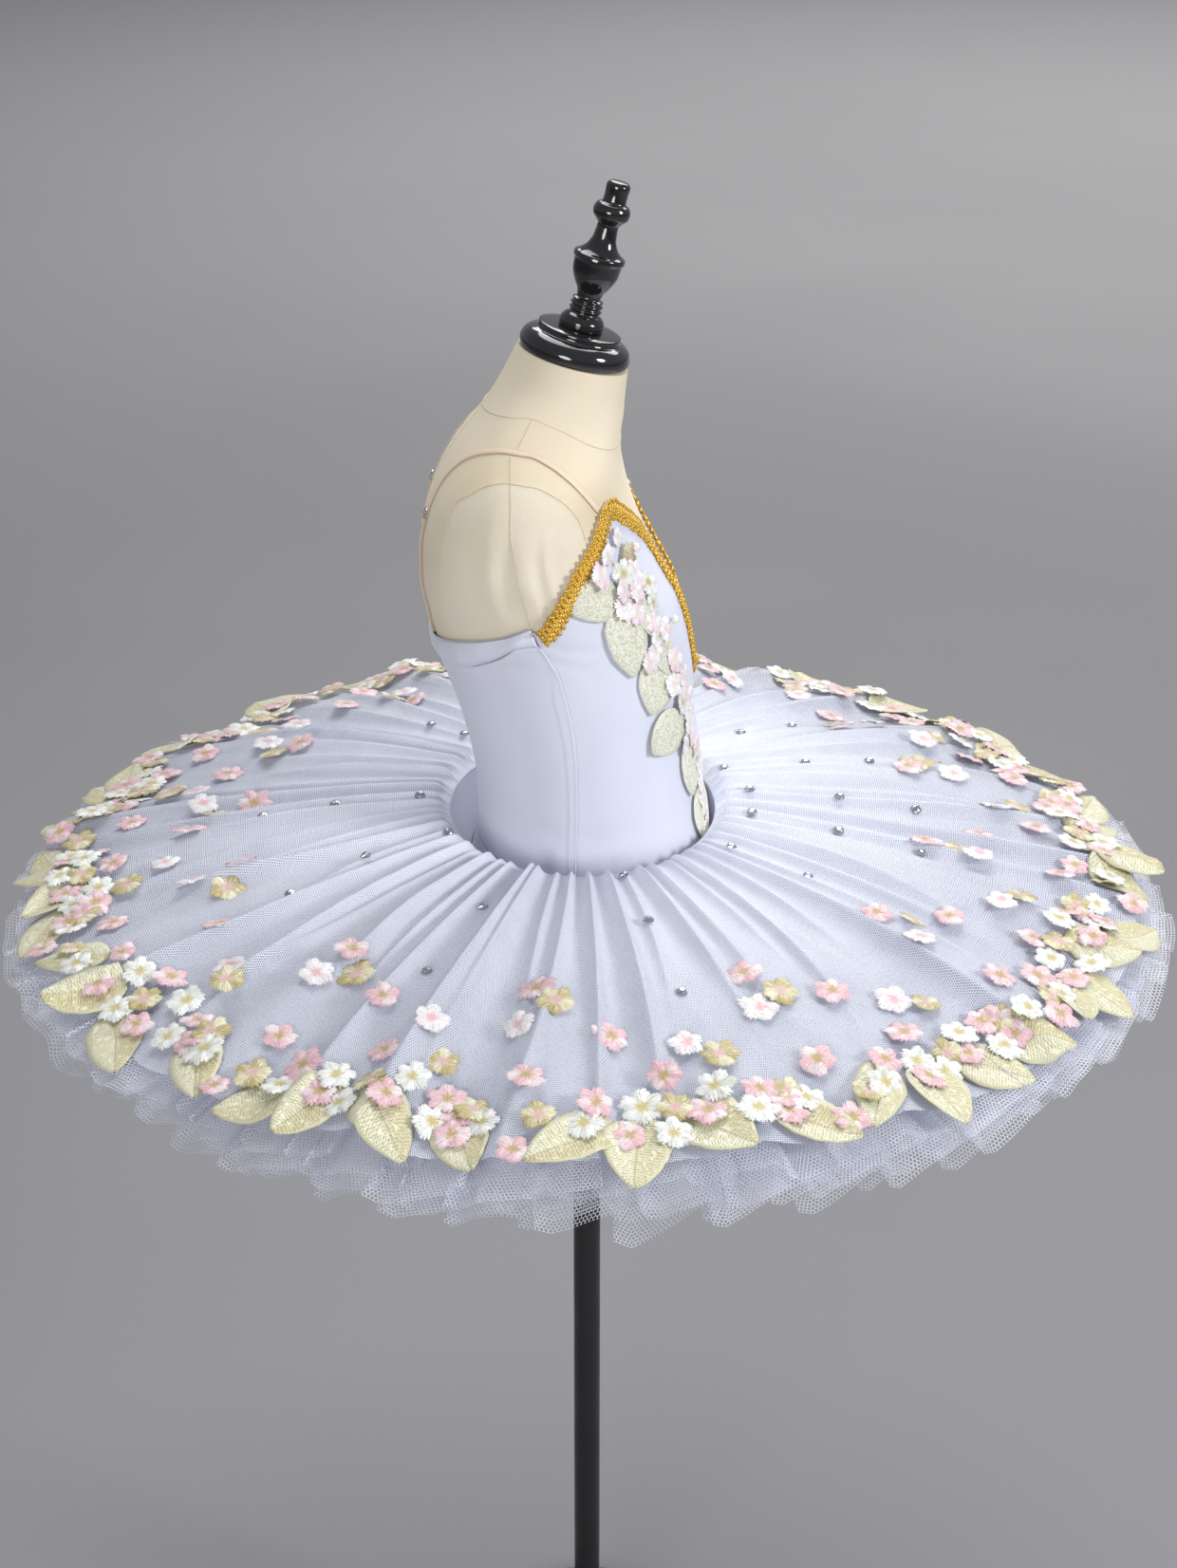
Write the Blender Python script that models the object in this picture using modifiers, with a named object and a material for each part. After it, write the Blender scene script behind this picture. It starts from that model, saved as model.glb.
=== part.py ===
"""Child's classical ballet tutu on a limbless dress form with a round weighted stand.

Metres, +Z up. The origin is on the floor under the middle of the pole, the figure faces -Y and its left
side is +X. Heights inside the tables are measured from the waist, where the skirt's opening lies.
Angles run round the figure in degrees: 0 at the front, 90 at its left side, 180 at the back.
"""

import math
from collections import namedtuple

import bmesh
import bpy
from mathutils import Matrix, Vector
from mathutils.bvhtree import BVHTree

COLLECTION_NAME = "ballet_tutu_on_dress_form"

# ---------------------------------------------------------------- driving dimensions
WAIST_HEIGHT = 0.880        # waist opening of the skirt above the floor
SEAM_GAP = 0.0003           # between pieces that touch
SEAM_GAP_DEGREES = 0.15     # half of the gap at the side seams, as an angle
CLOTH_THICKNESS = 0.0012
CLOTH_CLEARANCE = 0.0018    # cloth panels stand this far off the form
FRONT_CLEARANCE = 0.0028    # and the front panel a little further, over the chest
FORM_SIDES = 48             # flats round the form

SKIRT_DEPTH_RADIUS = 0.430  # leaf tips, front and back
SKIRT_WIDTH_RADIUS = 0.438  # leaf tips, left and right
OPENING_FRONT = 0.0985      # edge of the waist opening in front of the pole's axis
OPENING_BACK = 0.105
OPENING_WIDTH_RADIUS = 0.128
SKIRT_DROP = 0.063          # rim below the waist opening
STRAIGHT_DROP = 0.35        # share of the drop that is an even slope; the rest curves down to the rim
OPENING_LIP = 0.006         # the edge of the opening turns down this far
LEAF_COUNT = 52             # leaves round the rim, and gathers at the waist
POINTS_PER_WAVE = 3
BROAD_FOLDS = 19
BROAD_FOLD_HEIGHT = 0.0025
BORDER_THICKNESS = 0.0012
BORDER_LIFT = 0.0012        # leaf border above the net it is sewn on

NET_WAVES = 36
NET_WAVE_SHIFT = 0.42       # radians from one net's waves to the next
NET_RIPPLE = 0.003          # in and out, with the waves

HEM_HEIGHT = -0.0200        # lower edge of the bodice, inside the yoke
YOKE_BOTTOM = -0.0460       # the hip yoke hugs the brief here and opens upwards like a funnel
YOKE_RIM = -0.0075          # its upper edge, under the lip of the skirt's opening
YOKE_RIM_OUTSET = 0.0008    # outside the edge of the opening
YOKE_THICKNESS = 0.0012
CLOTH_STEP = 0.0006         # clearance of the yoke on the brief
NET_STEP = 0.0009           # clearance of a net's sewn edge
BRIEF_HEM = -0.1500
PANEL_ROWS = 11             # rows of facets up the bodice panels
FOLD_GAP = 0.0012           # back panel's edge below the rolled band

STRAP_WIDTH = 0.0050
STRAP_THICKNESS = 0.0010
STRAP_LIFT = 0.0011         # off the form
SLIDER_LENGTH = 0.0075      # metal slider where the strap is doubled at the back
SLIDER_WIDTH = 0.0082
SLIDER_THICKNESS = 0.0012
SLIDER_LIFT = 0.0004        # off the strap
SLIDER_PLACE = 12           # point of the strap's route that it lies below
SLIDER_SHARE = 0.25         # and how far on the way to the next point
BRAID_LIFT = 0.0018         # off the bodice
SPRAY_LIFT = 0.0017         # off the bodice: its net backing only touches at the stitches
BRAID_WIDTH = 0.0088
BRAID_EDGE = 0.0004         # the braid lies this far inside the neckline
BRAID_THICKNESS = 0.0022
BRAID_CROWN = 0.0008        # the braid is this much fuller along its middle
BRAID_GAP_MIDDLE = 0.05     # degrees from the middle of the neckline, where the two braids meet
BRAID_GAP_SIDE = 0.25       # degrees from the side seam
APPLIQUE_THICKNESS = 0.0012
APPLIQUE_CROWN = 0.0008
SPRAY_COLUMNS = 5

FINIAL_TILT = math.radians(15.0)
NECK_TOP = 0.3448
NECK_TOP_BACK = -0.0491
NECK_TOP_FRONT = 0.0294

CAP_STEPS = 24              # flats round the neck cap and the finial
FINIAL_STEPS = 14

POLE_RADIUS = 0.0110
BASE_RADIUS = 0.140
BASE_THICKNESS = 0.012
BASE_EDGE = 0.003
COLLAR_RADIUS = 0.0190
COLLAR_HEIGHT = 0.030
FLANGE_RADIUS = 0.036
FLANGE_THICKNESS = 0.006
BASE_SIDES = 40
ROD_SIDES = 24              # flats round pole, collar and flange

SEARCH_OUTSIDE = 0.030      # a piece's surface is looked for from here, outside the form
SEARCH_INSIDE = -0.005      # to here, inside it

# ---------------------------------------------------------------- tables
# Level sections of the form. back and front are the section's ends on the middle line, square is 2 for an
# ellipse and more for a squarer outline, and tilt is the rise towards the back for each metre.
Section = namedtuple("Section", "height back front half_width square tilt")
FORM_SECTIONS = [
    Section(-0.165, -0.087, 0.089, 0.1090, 2.30, 0.000),
    Section(-0.150, -0.094, 0.096, 0.1170, 2.30, 0.000),
    Section(-0.115, -0.097, 0.100, 0.1210, 2.30, 0.000),
    Section(-0.075, -0.093, 0.098, 0.1170, 2.25, 0.000),
    Section(-0.040, -0.085, 0.093, 0.1090, 2.20, 0.000),
    Section(-0.010, -0.0803, 0.0893, 0.1035, 2.20, 0.000),
    Section(0.020, -0.0803, 0.0858, 0.1015, 2.20, 0.000),
    Section(0.050, -0.0843, 0.0825, 0.1025, 2.20, 0.000),
    Section(0.080, -0.0913, 0.0782, 0.1055, 2.20, 0.000),
    Section(0.110, -0.1008, 0.0768, 0.1095, 2.25, 0.000),
    Section(0.140, -0.1108, 0.0737, 0.1142, 2.30, 0.000),
    Section(0.170, -0.1180, 0.0660, 0.1205, 2.35, 0.000),
    Section(0.195, -0.1215, 0.0530, 0.1270, 2.40, 0.000),
    Section(0.220, -0.1205, 0.0405, 0.1315, 2.40, 0.000),
    Section(0.242, -0.1155, 0.0325, 0.1315, 2.35, 0.000),
    Section(0.260, -0.1085, 0.0275, 0.1270, 2.30, 0.000),
    Section(0.275, -0.0995, 0.0250, 0.1170, 2.20, 0.020),
    Section(0.287, -0.0900, 0.0245, 0.1010, 2.15, 0.050),
    Section(0.298, -0.0800, 0.0250, 0.0815, 2.10, 0.090),
    Section(0.310, -0.0700, 0.0265, 0.0600, 2.05, 0.160),
    Section(0.325, -0.0600, 0.0275, 0.0460, 2.00, 0.220),
    Section(NECK_TOP, NECK_TOP_BACK, NECK_TOP_FRONT, 0.0400, 2.00, math.tan(FINIAL_TILT)),
]

# Upper edge of the front panel, from the middle of the neckline over the peak to the side seam.
EdgePoint = namedtuple("EdgePoint", "degrees height")
NECKLINE = [
    EdgePoint(0, 0.108), EdgePoint(5, 0.124), EdgePoint(9, 0.143), EdgePoint(13, 0.172),
    EdgePoint(16, 0.200), EdgePoint(20, 0.225), EdgePoint(26, 0.242), EdgePoint(34, 0.257),
    EdgePoint(40, 0.256), EdgePoint(46, 0.250), EdgePoint(54, 0.239), EdgePoint(63, 0.228),
    EdgePoint(72, 0.214), EdgePoint(82, 0.197), EdgePoint(90, 0.184), EdgePoint(94, 0.178),
]

# Columns of the front panel on one side: closer together along the neckline.
FRONT_STATIONS = [0, 3.75, 7.5, 11.25, 15, 18.75, 22.5, 30, 34, 37.5, 45, 52.5, 60, 67.5, 75, 82.5, 90, 94]

# Side seam of the bodice: it swings back at the armhole and again at the hip.
SIDE_SEAM = [
    EdgePoint(97.0, -0.020), EdgePoint(95.4, 0.018), EdgePoint(93.0, 0.050), EdgePoint(90.5, 0.080),
    EdgePoint(89.6, 0.110), EdgePoint(89.6, 0.140), EdgePoint(91.0, 0.158), EdgePoint(94.0, 0.178),
]

# Upper edges at the back: where the panel folds over, and the picot edge of the turned band.
BackEdge = namedtuple("BackEdge", "degrees fold picot")
BACK_EDGES = [
    BackEdge(94, 0.1690, 0.1830), BackEdge(103, 0.1650, 0.1760), BackEdge(112, 0.1560, 0.1710),
    BackEdge(121, 0.1490, 0.1670), BackEdge(132, 0.1420, 0.1620), BackEdge(145, 0.1380, 0.1560),
    BackEdge(160, 0.1350, 0.1500), BackEdge(180, 0.1330, 0.1470),
]
# Across the turned band, from the fold to the picot edge: share of its height, distance off the form.
BandRow = namedtuple("BandRow", "share lift")
BAND_ROWS = [BandRow(0.0, 0.0016), BandRow(0.2, 0.0046), BandRow(0.6, 0.0042), BandRow(1.0, 0.0012)]

# Shoulder strap of the left side, from the front peak over the shoulder to the back band.
StrapPoint = namedtuple("StrapPoint", "degrees height")
STRAP_ROUTE = [
    StrapPoint(43, 0.2560), StrapPoint(47, 0.2610), StrapPoint(53, 0.2690), StrapPoint(61, 0.2775),
    StrapPoint(71, 0.2850), StrapPoint(84, 0.2915), StrapPoint(100, 0.2955), StrapPoint(117, 0.2950),
    StrapPoint(134, 0.2915), StrapPoint(147, 0.2855), StrapPoint(156, 0.2765), StrapPoint(161, 0.2650),
    StrapPoint(163, 0.2480), StrapPoint(163, 0.2250), StrapPoint(162, 0.2000), StrapPoint(161, 0.1750),
    StrapPoint(160, 0.1535),
]

# Outline of the embroidered spray on the left front, down the figure: its edge towards the side seam and
# its edge towards the middle. The leaves make the lobes of the outer edge.
SprayRow = namedtuple("SprayRow", "height outer inner")
SPRAY_ROWS = [
    SprayRow(0.2440, 40, 35), SprayRow(0.2280, 50, 31), SprayRow(0.2140, 60, 28),
    SprayRow(0.2040, 68, 27), SprayRow(0.1950, 71, 27), SprayRow(0.1890, 58, 28),
    SprayRow(0.1750, 66, 28), SprayRow(0.1600, 68, 28), SprayRow(0.1470, 64, 30),
    SprayRow(0.1410, 56, 31), SprayRow(0.1330, 60, 31), SprayRow(0.1200, 57, 27),
    SprayRow(0.1070, 48, 20), SprayRow(0.0950, 57, 14), SprayRow(0.0850, 57, 10),
    SprayRow(0.0700, 42, 8), SprayRow(0.0640, 34, 8), SprayRow(0.0500, 40, 8),
    SprayRow(0.0340, 36, 8), SprayRow(0.0260, 30, 8), SprayRow(0.0170, 32, 9),
    SprayRow(0.0000, 29, 11), SprayRow(-0.0120, 20, 14),
]

# Radial rows of the top layer: share of the way to the rim and height of the gathers there.
SkirtRow = namedtuple("SkirtRow", "share gather")
SKIRT_ROWS = [SkirtRow(0.0, 0.0), SkirtRow(0.06, 0.0022), SkirtRow(0.48, 0.0030), SkirtRow(1.0, 0.0020)]
# One leaf of the rim in three columns: outer edge of net and border, and inner edge of the border,
# each as a distance inside the leaf tips.
LeafColumn = namedtuple("LeafColumn", "net_edge tip base")
LEAF_COLUMNS = [
    LeafColumn(0.0050, 0.0000, 0.0560),
    LeafColumn(0.0120, 0.0060, 0.0470),
    LeafColumn(0.0240, 0.0200, 0.0400),
]

# The nets under the top layer: where each is sewn to the yoke or the brief, its rim and its waves.
Net = namedtuple("Net", "name sewn_to sewn_height rim_height reach wave")
NETS = [
    Net("net_layer_1", "hip_yoke", -0.020, -0.0770, 0.438, 0.0060),
    Net("net_layer_2", "hip_yoke", -0.036, -0.0860, 0.442, 0.0070),
    Net("net_layer_3", "brief", -0.054, -0.0950, 0.440, 0.0070),
]

# Turned profiles along the tilted neck axis, bottom to top: distance along it and radius.
Turning = namedtuple("Turning", "along radius")
CAP_PROFILE = [
    Turning(0.0003, 0.0375), Turning(0.0020, 0.0396), Turning(0.0060, 0.0405), Turning(0.0110, 0.0390),
    Turning(0.0150, 0.0345), Turning(0.0170, 0.0305), Turning(0.0205, 0.0300), Turning(0.0212, 0.0250),
]
FINIAL_PROFILE = [
    Turning(0.0215, 0.0160), Turning(0.0260, 0.0162), Turning(0.0300, 0.0140), Turning(0.0330, 0.0105),
    Turning(0.0350, 0.0118), Turning(0.0368, 0.0103), Turning(0.0386, 0.0118), Turning(0.0404, 0.0103),
    Turning(0.0420, 0.0112), Turning(0.0435, 0.0086), Turning(0.0480, 0.0096), Turning(0.0540, 0.0132),
    Turning(0.0620, 0.0166), Turning(0.0705, 0.0174), Turning(0.0720, 0.0186), Turning(0.0746, 0.0184),
    Turning(0.0765, 0.0155), Turning(0.0810, 0.0110), Turning(0.0880, 0.0083), Turning(0.0965, 0.0076),
    Turning(0.0995, 0.0098), Turning(0.1030, 0.0128), Turning(0.1065, 0.0133), Turning(0.1105, 0.0118),
    Turning(0.1130, 0.0084), Turning(0.1180, 0.0082), Turning(0.1245, 0.0086), Turning(0.1272, 0.0066),
]

# Finishes: base colour, roughness and metallic.
Finish = namedtuple("Finish", "colour roughness metallic")
FINISHES = {
    "linen": Finish((0.75, 0.65, 0.45), 0.85, 0.0),
    "black_lacquer": Finish((0.010, 0.010, 0.011), 0.12, 0.0),
    "black_steel": Finish((0.012, 0.012, 0.013), 0.35, 0.8),
    "white_spandex": Finish((0.80, 0.80, 0.88), 0.55, 0.0),
    "nude_elastic": Finish((0.78, 0.52, 0.38), 0.60, 0.0),
    "gold_gimp": Finish((0.72, 0.42, 0.03), 0.35, 0.6),
    "silver_wire": Finish((0.75, 0.75, 0.76), 0.25, 1.0),
    "leaf_embroidery": Finish((0.78, 0.76, 0.50), 0.45, 0.0),
    "white_net": Finish((0.82, 0.83, 0.92), 0.60, 0.0),
}


# ---------------------------------------------------------------- helpers
def clear_scene():
    for obj in list(bpy.data.objects):
        bpy.data.objects.remove(obj, do_unlink=True)


def make_collection(name):
    collection = bpy.data.collections.new(name)
    bpy.context.scene.collection.children.link(collection)
    return collection


def make_material(node_name, finish_name):
    finish = FINISHES[finish_name]
    material = bpy.data.materials.new(f"{node_name}_{finish_name}")
    material.use_nodes = True
    shader = material.node_tree.nodes["Principled BSDF"]
    shader.inputs["Base Color"].default_value = (*finish.colour, 1.0)
    shader.inputs["Roughness"].default_value = finish.roughness
    shader.inputs["Metallic"].default_value = finish.metallic
    return material


def mix(low, high, share):
    return low + (high - low) * share


def smooth_column(rows, key, value, name):
    """Column `name` of a table at `value` of its rising column `key`, on a smooth curve without overshoot."""
    keys = [getattr(row, key) for row in rows]
    column = [getattr(row, name) for row in rows]
    value = min(max(value, keys[0]), keys[-1])
    i = min(max(sum(k <= value for k in keys) - 1, 0), len(keys) - 2)

    def slope(j):
        return (column[j + 1] - column[j]) / (keys[j + 1] - keys[j])

    def tangent(j):
        if j == 0 or j == len(keys) - 1:
            return slope(min(j, len(keys) - 2))
        before, after = slope(j - 1), slope(j)
        return 0.0 if before * after <= 0 else 2 * before * after / (before + after)

    span = keys[i + 1] - keys[i]
    t = (value - keys[i]) / span
    return ((2 * t**3 - 3 * t**2 + 1) * column[i] + (t**3 - 2 * t**2 + t) * span * tangent(i)
            + (3 * t**2 - 2 * t**3) * column[i + 1] + (t**3 - t**2) * span * tangent(i + 1))


def squared(value, square):
    return math.copysign(abs(value) ** (2 / square), value)


def form_point(height, degrees, lift=0.0):
    """Point on the form, or `lift` metres outside it."""
    back, front, half_width, square, tilt = (
        smooth_column(FORM_SECTIONS, "height", height, name)
        for name in ("back", "front", "half_width", "square", "tilt"))
    middle = (front + back) / 2
    half_depth = (front - back) / 2 + lift
    angle = math.radians(degrees)
    forward = middle + half_depth * squared(math.cos(angle), square)
    side = (half_width + lift) * squared(math.sin(angle), square)
    return Vector((side, -forward, WAIST_HEIGHT + height + tilt * (middle - forward)))


def neck_axis_matrix():
    """Frame whose Z is the finial's axis, with its origin in the middle of the neck's top."""
    middle = (NECK_TOP_FRONT + NECK_TOP_BACK) / 2
    return Matrix.Translation((0.0, -middle, WAIST_HEIGHT + NECK_TOP)) @ Matrix.Rotation(FINIAL_TILT, 4, "X")


def surface_of(name):
    """Search tree of a finished piece's outer surface, for what is laid on it."""
    return BVHTree.FromObject(bpy.data.objects[name], bpy.context.evaluated_depsgraph_get())


def laid_point(tree, height, degrees, lift):
    """Point `lift` above a piece, where the line across the form at this height and angle meets it."""
    outside = form_point(height, degrees, SEARCH_OUTSIDE)
    inside = form_point(height, degrees, SEARCH_INSIDE)
    hit, normal, _, _ = tree.ray_cast(outside, inside - outside)
    if hit is None:
        return form_point(height, degrees, CLOTH_CLEARANCE + CLOTH_THICKNESS + lift)
    return hit + normal * lift


def link_mesh(name, mesh, finish_name):
    obj = bpy.data.objects.new(name, mesh)
    obj.data.materials.append(make_material(name, finish_name))
    bpy.data.collections[COLLECTION_NAME].objects.link(obj)
    return obj


def grid_mesh(name, rows, ring):
    """Open surface through rows of points. A ring's rows close on themselves."""
    mesh_builder = bmesh.new()
    grid = [[mesh_builder.verts.new(point) for point in row] for row in rows]
    columns = len(grid[0])
    for lower, upper in zip(grid, grid[1:]):
        for i in range(columns if ring else columns - 1):
            j = (i + 1) % columns
            mesh_builder.faces.new((lower[i], lower[j], upper[j], upper[i]))
    mesh = bpy.data.meshes.new(name)
    mesh_builder.to_mesh(mesh)
    mesh_builder.free()
    return mesh


def add_cloth(name, rows, finish_name, thickness, ring=False, outward=True):
    """Cloth wall: an open surface that Solidify thickens to its outer (or its under) side."""
    cloth = link_mesh(name, grid_mesh(name, rows, ring), finish_name)
    wall = cloth.modifiers.new("wall", "SOLIDIFY")
    wall.thickness = thickness
    wall.offset = 1.0 if outward else -1.0
    cloth.data.shade_smooth()
    return cloth


def add_turned(name, profile, matrix, steps, finish_name):
    """Turned piece: its profile, closed to the axis, spun by a Screw modifier."""
    outline = [(0.0, 0.0, profile[-1].along)]
    outline += [(row.radius, 0.0, row.along) for row in reversed(profile)]
    outline += [(0.0, 0.0, profile[0].along)]
    mesh = bpy.data.meshes.new(name)
    mesh.from_pydata(outline, [(i, i + 1) for i in range(len(outline) - 1)], [])
    turned = link_mesh(name, mesh, finish_name)
    turned.matrix_world = matrix
    screw = turned.modifiers.new("turning", "SCREW")
    screw.axis = "Z"
    screw.angle = math.tau
    screw.steps = steps
    screw.render_steps = steps
    screw.use_merge_vertices = True
    screw.merge_threshold = 0.00001
    return turned


def add_cylinder(name, radius, bottom, top, sides, finish_name, edge=0.0):
    bpy.ops.mesh.primitive_cylinder_add(vertices=sides, radius=radius, depth=top - bottom,
                                        location=(0.0, 0.0, (top + bottom) / 2))
    cylinder = bpy.context.object
    cylinder.name = name
    cylinder.data.materials.append(make_material(name, finish_name))
    for collection in list(cylinder.users_collection):
        collection.objects.unlink(cylinder)
    bpy.data.collections[COLLECTION_NAME].objects.link(cylinder)
    cylinder.data.shade_smooth()
    cylinder.data.set_sharp_from_angle(angle=math.radians(40))
    if edge:
        bevel = cylinder.modifiers.new("edge", "BEVEL")
        bevel.width = edge
        bevel.segments = 2
        bevel.limit_method = "ANGLE"
    return cylinder


# ---------------------------------------------------------------- dress form and stand
def build_form():
    """Whole smooth torso, lofted through the form's sections and closed flat at neck and seat."""
    heights = [row.height for row in FORM_SECTIONS]
    turns = [360.0 * i / FORM_SIDES for i in range(FORM_SIDES)]
    mesh_builder = bmesh.new()
    rings = [[mesh_builder.verts.new(form_point(height, degrees)) for degrees in turns] for height in heights]
    for lower, upper in zip(rings, rings[1:]):
        for i in range(FORM_SIDES):
            j = (i + 1) % FORM_SIDES
            mesh_builder.faces.new((lower[i], lower[j], upper[j], upper[i]))
    mesh_builder.faces.new(list(reversed(rings[0])))
    mesh_builder.faces.new(rings[-1])
    mesh = bpy.data.meshes.new("form_torso")
    mesh_builder.to_mesh(mesh)
    mesh_builder.free()
    mesh.shade_smooth()
    mesh.set_sharp_from_angle(angle=math.radians(50))
    link_mesh("form_torso", mesh, "linen")


def build_neck():
    matrix = neck_axis_matrix()
    add_turned("neck_cap", CAP_PROFILE, matrix, CAP_STEPS, "black_lacquer")
    add_turned("finial", FINIAL_PROFILE, matrix, FINIAL_STEPS, "black_lacquer")


def build_stand():
    seat = WAIST_HEIGHT + FORM_SECTIONS[0].height
    flange_top = seat - SEAM_GAP
    flange_bottom = flange_top - FLANGE_THICKNESS
    collar_top = BASE_THICKNESS + SEAM_GAP + COLLAR_HEIGHT
    add_cylinder("stand_base", BASE_RADIUS, 0.0, BASE_THICKNESS, BASE_SIDES, "black_steel", edge=BASE_EDGE)
    add_cylinder("stand_collar", COLLAR_RADIUS, BASE_THICKNESS + SEAM_GAP, collar_top, ROD_SIDES,
                 "black_steel")
    add_cylinder("stand_pole", POLE_RADIUS, collar_top + SEAM_GAP, flange_bottom - SEAM_GAP, ROD_SIDES,
                 "black_steel")
    add_cylinder("stand_flange", FLANGE_RADIUS, flange_bottom, flange_top, ROD_SIDES, "black_steel")


# ---------------------------------------------------------------- bodice
def seam_degrees(height):
    return smooth_column(SIDE_SEAM, "height", height, "degrees")


def neckline_height(degrees):
    """Upper edge of the front panel: straight between the points of its table."""
    degrees = abs(degrees)
    for low, high in zip(NECKLINE, NECKLINE[1:]):
        if degrees <= high.degrees:
            return mix(low.height, high.height, (degrees - low.degrees) / (high.degrees - low.degrees))
    return NECKLINE[-1].height


def build_bodice_front():
    """Front panel from hem to neckline, side seam to side seam."""
    stations = [-degrees for degrees in reversed(FRONT_STATIONS[1:])] + FRONT_STATIONS
    side = NECKLINE[-1].degrees
    rows = []
    for share in [i / PANEL_ROWS for i in range(PANEL_ROWS + 1)]:
        row = []
        for station in stations:
            height = mix(HEM_HEIGHT, neckline_height(station), share)
            to_seam = seam_degrees(height) - SEAM_GAP_DEGREES - side
            clearance = mix(FRONT_CLEARANCE, CLOTH_CLEARANCE, (station / side) ** 2)
            row.append(form_point(height, station + to_seam * (station / side) ** 3, clearance))
        rows.append(row)
    add_cloth("bodice_front", rows, "white_spandex", CLOTH_THICKNESS)


def back_stations():
    """Columns of the back's pieces: the side seams, and the form's own corners between them."""
    first = BACK_EDGES[0].degrees
    corners = [360 / FORM_SIDES * i for i in range(FORM_SIDES)]
    return [first] + [value for value in corners if first < value < 360 - first] + [360 - first]


def back_edge(degrees, name):
    return smooth_column(BACK_EDGES, "degrees", min(degrees, 360 - degrees), name)


def build_bodice_back():
    """Back panel from hem to the fold of its turned band, in step with the front panel at the seams."""
    first = BACK_EDGES[0].degrees
    top = back_edge(first, "fold") - FOLD_GAP
    step = (NECKLINE[-1].height - HEM_HEIGHT) / PANEL_ROWS / (top - HEM_HEIGHT)
    rows = []
    for share in [i * step for i in range(PANEL_ROWS)] + [1.0]:
        row = []
        for station in back_stations():
            height = mix(HEM_HEIGHT, back_edge(station, "fold") - FOLD_GAP, share)
            from_middle = (station - 180) / (180 - first)
            reach = 180 - seam_degrees(height) - SEAM_GAP_DEGREES
            row.append(form_point(height, 180 + from_middle * reach, CLOTH_CLEARANCE))
        rows.append(row)
    add_cloth("bodice_back", rows, "white_spandex", CLOTH_THICKNESS)


def build_back_band():
    """Turned band with its picot edge, rolled a little away from the form."""
    first = BACK_EDGES[0].degrees
    squeeze = 1 - 2 * SEAM_GAP_DEGREES / (180 - first)
    rows = []
    for band_row in BAND_ROWS:
        row = []
        for station in back_stations():
            height = mix(back_edge(station, "fold"), back_edge(station, "picot"), band_row.share)
            row.append(form_point(height, 180 + (station - 180) * squeeze, band_row.lift))
        rows.append(row)
    add_cloth("back_band", rows, "white_spandex", CLOTH_THICKNESS)


def build_strap(name, side):
    """Flat elastic strap on the shoulder. Its ends stop at the front peak and at the back band."""
    form = surface_of("form_torso")
    points = []
    for here, after in zip(STRAP_ROUTE, STRAP_ROUTE[1:]):
        points += [here, StrapPoint((here.degrees + after.degrees) / 2, (here.height + after.height) / 2)]
    points.append(STRAP_ROUTE[-1])
    route = [laid_point(form, point.height, side * point.degrees, STRAP_LIFT) for point in points]
    edges = [[], []]
    for i, point in enumerate(route):
        along = route[min(i + 1, len(route) - 1)] - route[max(i - 1, 0)]
        _, outward, _, _ = form.find_nearest(point)
        across = along.cross(outward).normalized() * (STRAP_WIDTH / 2)
        for edge, corner in zip(edges, (point + across, point - across)):
            seat, normal, _, _ = form.find_nearest(corner)
            edge.append(seat + normal * STRAP_LIFT)
    add_cloth(name, edges, "nude_elastic", STRAP_THICKNESS)


def build_slider(name, side, strap_name):
    """Metal slider that lies on one straight stretch of the strap, behind the shoulder."""
    start, end = STRAP_ROUTE[SLIDER_PLACE:SLIDER_PLACE + 2]
    height = mix(start.height, end.height, SLIDER_SHARE)
    degrees = side * mix(start.degrees, end.degrees, SLIDER_SHARE)
    outside = form_point(height, degrees, SEARCH_OUTSIDE)
    inside = form_point(height, degrees, SEARCH_INSIDE)
    seat, outward, _, _ = surface_of(strap_name).ray_cast(outside, inside - outside)
    run = form_point(end.height, side * end.degrees) - form_point(start.height, side * start.degrees)
    across = outward.cross(run).normalized() * (SLIDER_WIDTH / 2)
    along = across.cross(outward).normalized() * (SLIDER_LENGTH / 2)
    middle = seat + outward * SLIDER_LIFT
    rows = [[middle + end + across, middle + end - across] for end in (-along, along)]
    add_cloth(name, rows, "silver_wire", SLIDER_THICKNESS)


def braid_samples():
    """Points along the neckline from its middle to the side seam, no further apart than a braid's width."""
    samples = [EdgePoint(BRAID_GAP_MIDDLE, NECKLINE[0].height)]
    for degrees in FRONT_STATIONS[1:-1]:
        samples += [EdgePoint(degrees, neckline_height(degrees))]
    return samples + [EdgePoint(NECKLINE[-1].degrees - BRAID_GAP_SIDE, NECKLINE[-1].height)]


def build_braid(name, side):
    """Gimp braid along the neckline, from the middle over the peak to the side seam."""
    panel = surface_of("bodice_front")
    samples = braid_samples()
    rows = [[], [], []]
    for i, sample in enumerate(samples):
        start = samples[max(i - 1, 0)]
        end = samples[min(i + 1, len(samples) - 1)]
        girth = form_point(sample.height, 90).x
        run = Vector((math.radians(end.degrees - start.degrees) * girth, end.height - start.height))
        run.normalize()
        for row, share in zip(rows, (0.0, 0.5, 1.0)):
            inset = BRAID_EDGE + share * BRAID_WIDTH
            degrees = sample.degrees + math.degrees(run.y * inset / girth)
            degrees = min(max(degrees, BRAID_GAP_MIDDLE), NECKLINE[-1].degrees - BRAID_GAP_SIDE)
            crown = BRAID_CROWN if share == 0.5 else 0.0
            row.append(laid_point(panel, sample.height - run.x * inset, side * degrees, BRAID_LIFT + crown))
    if side < 0:
        rows = [list(reversed(row)) for row in rows]
    add_cloth(name, list(reversed(rows)), "gold_gimp", BRAID_THICKNESS)


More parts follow.
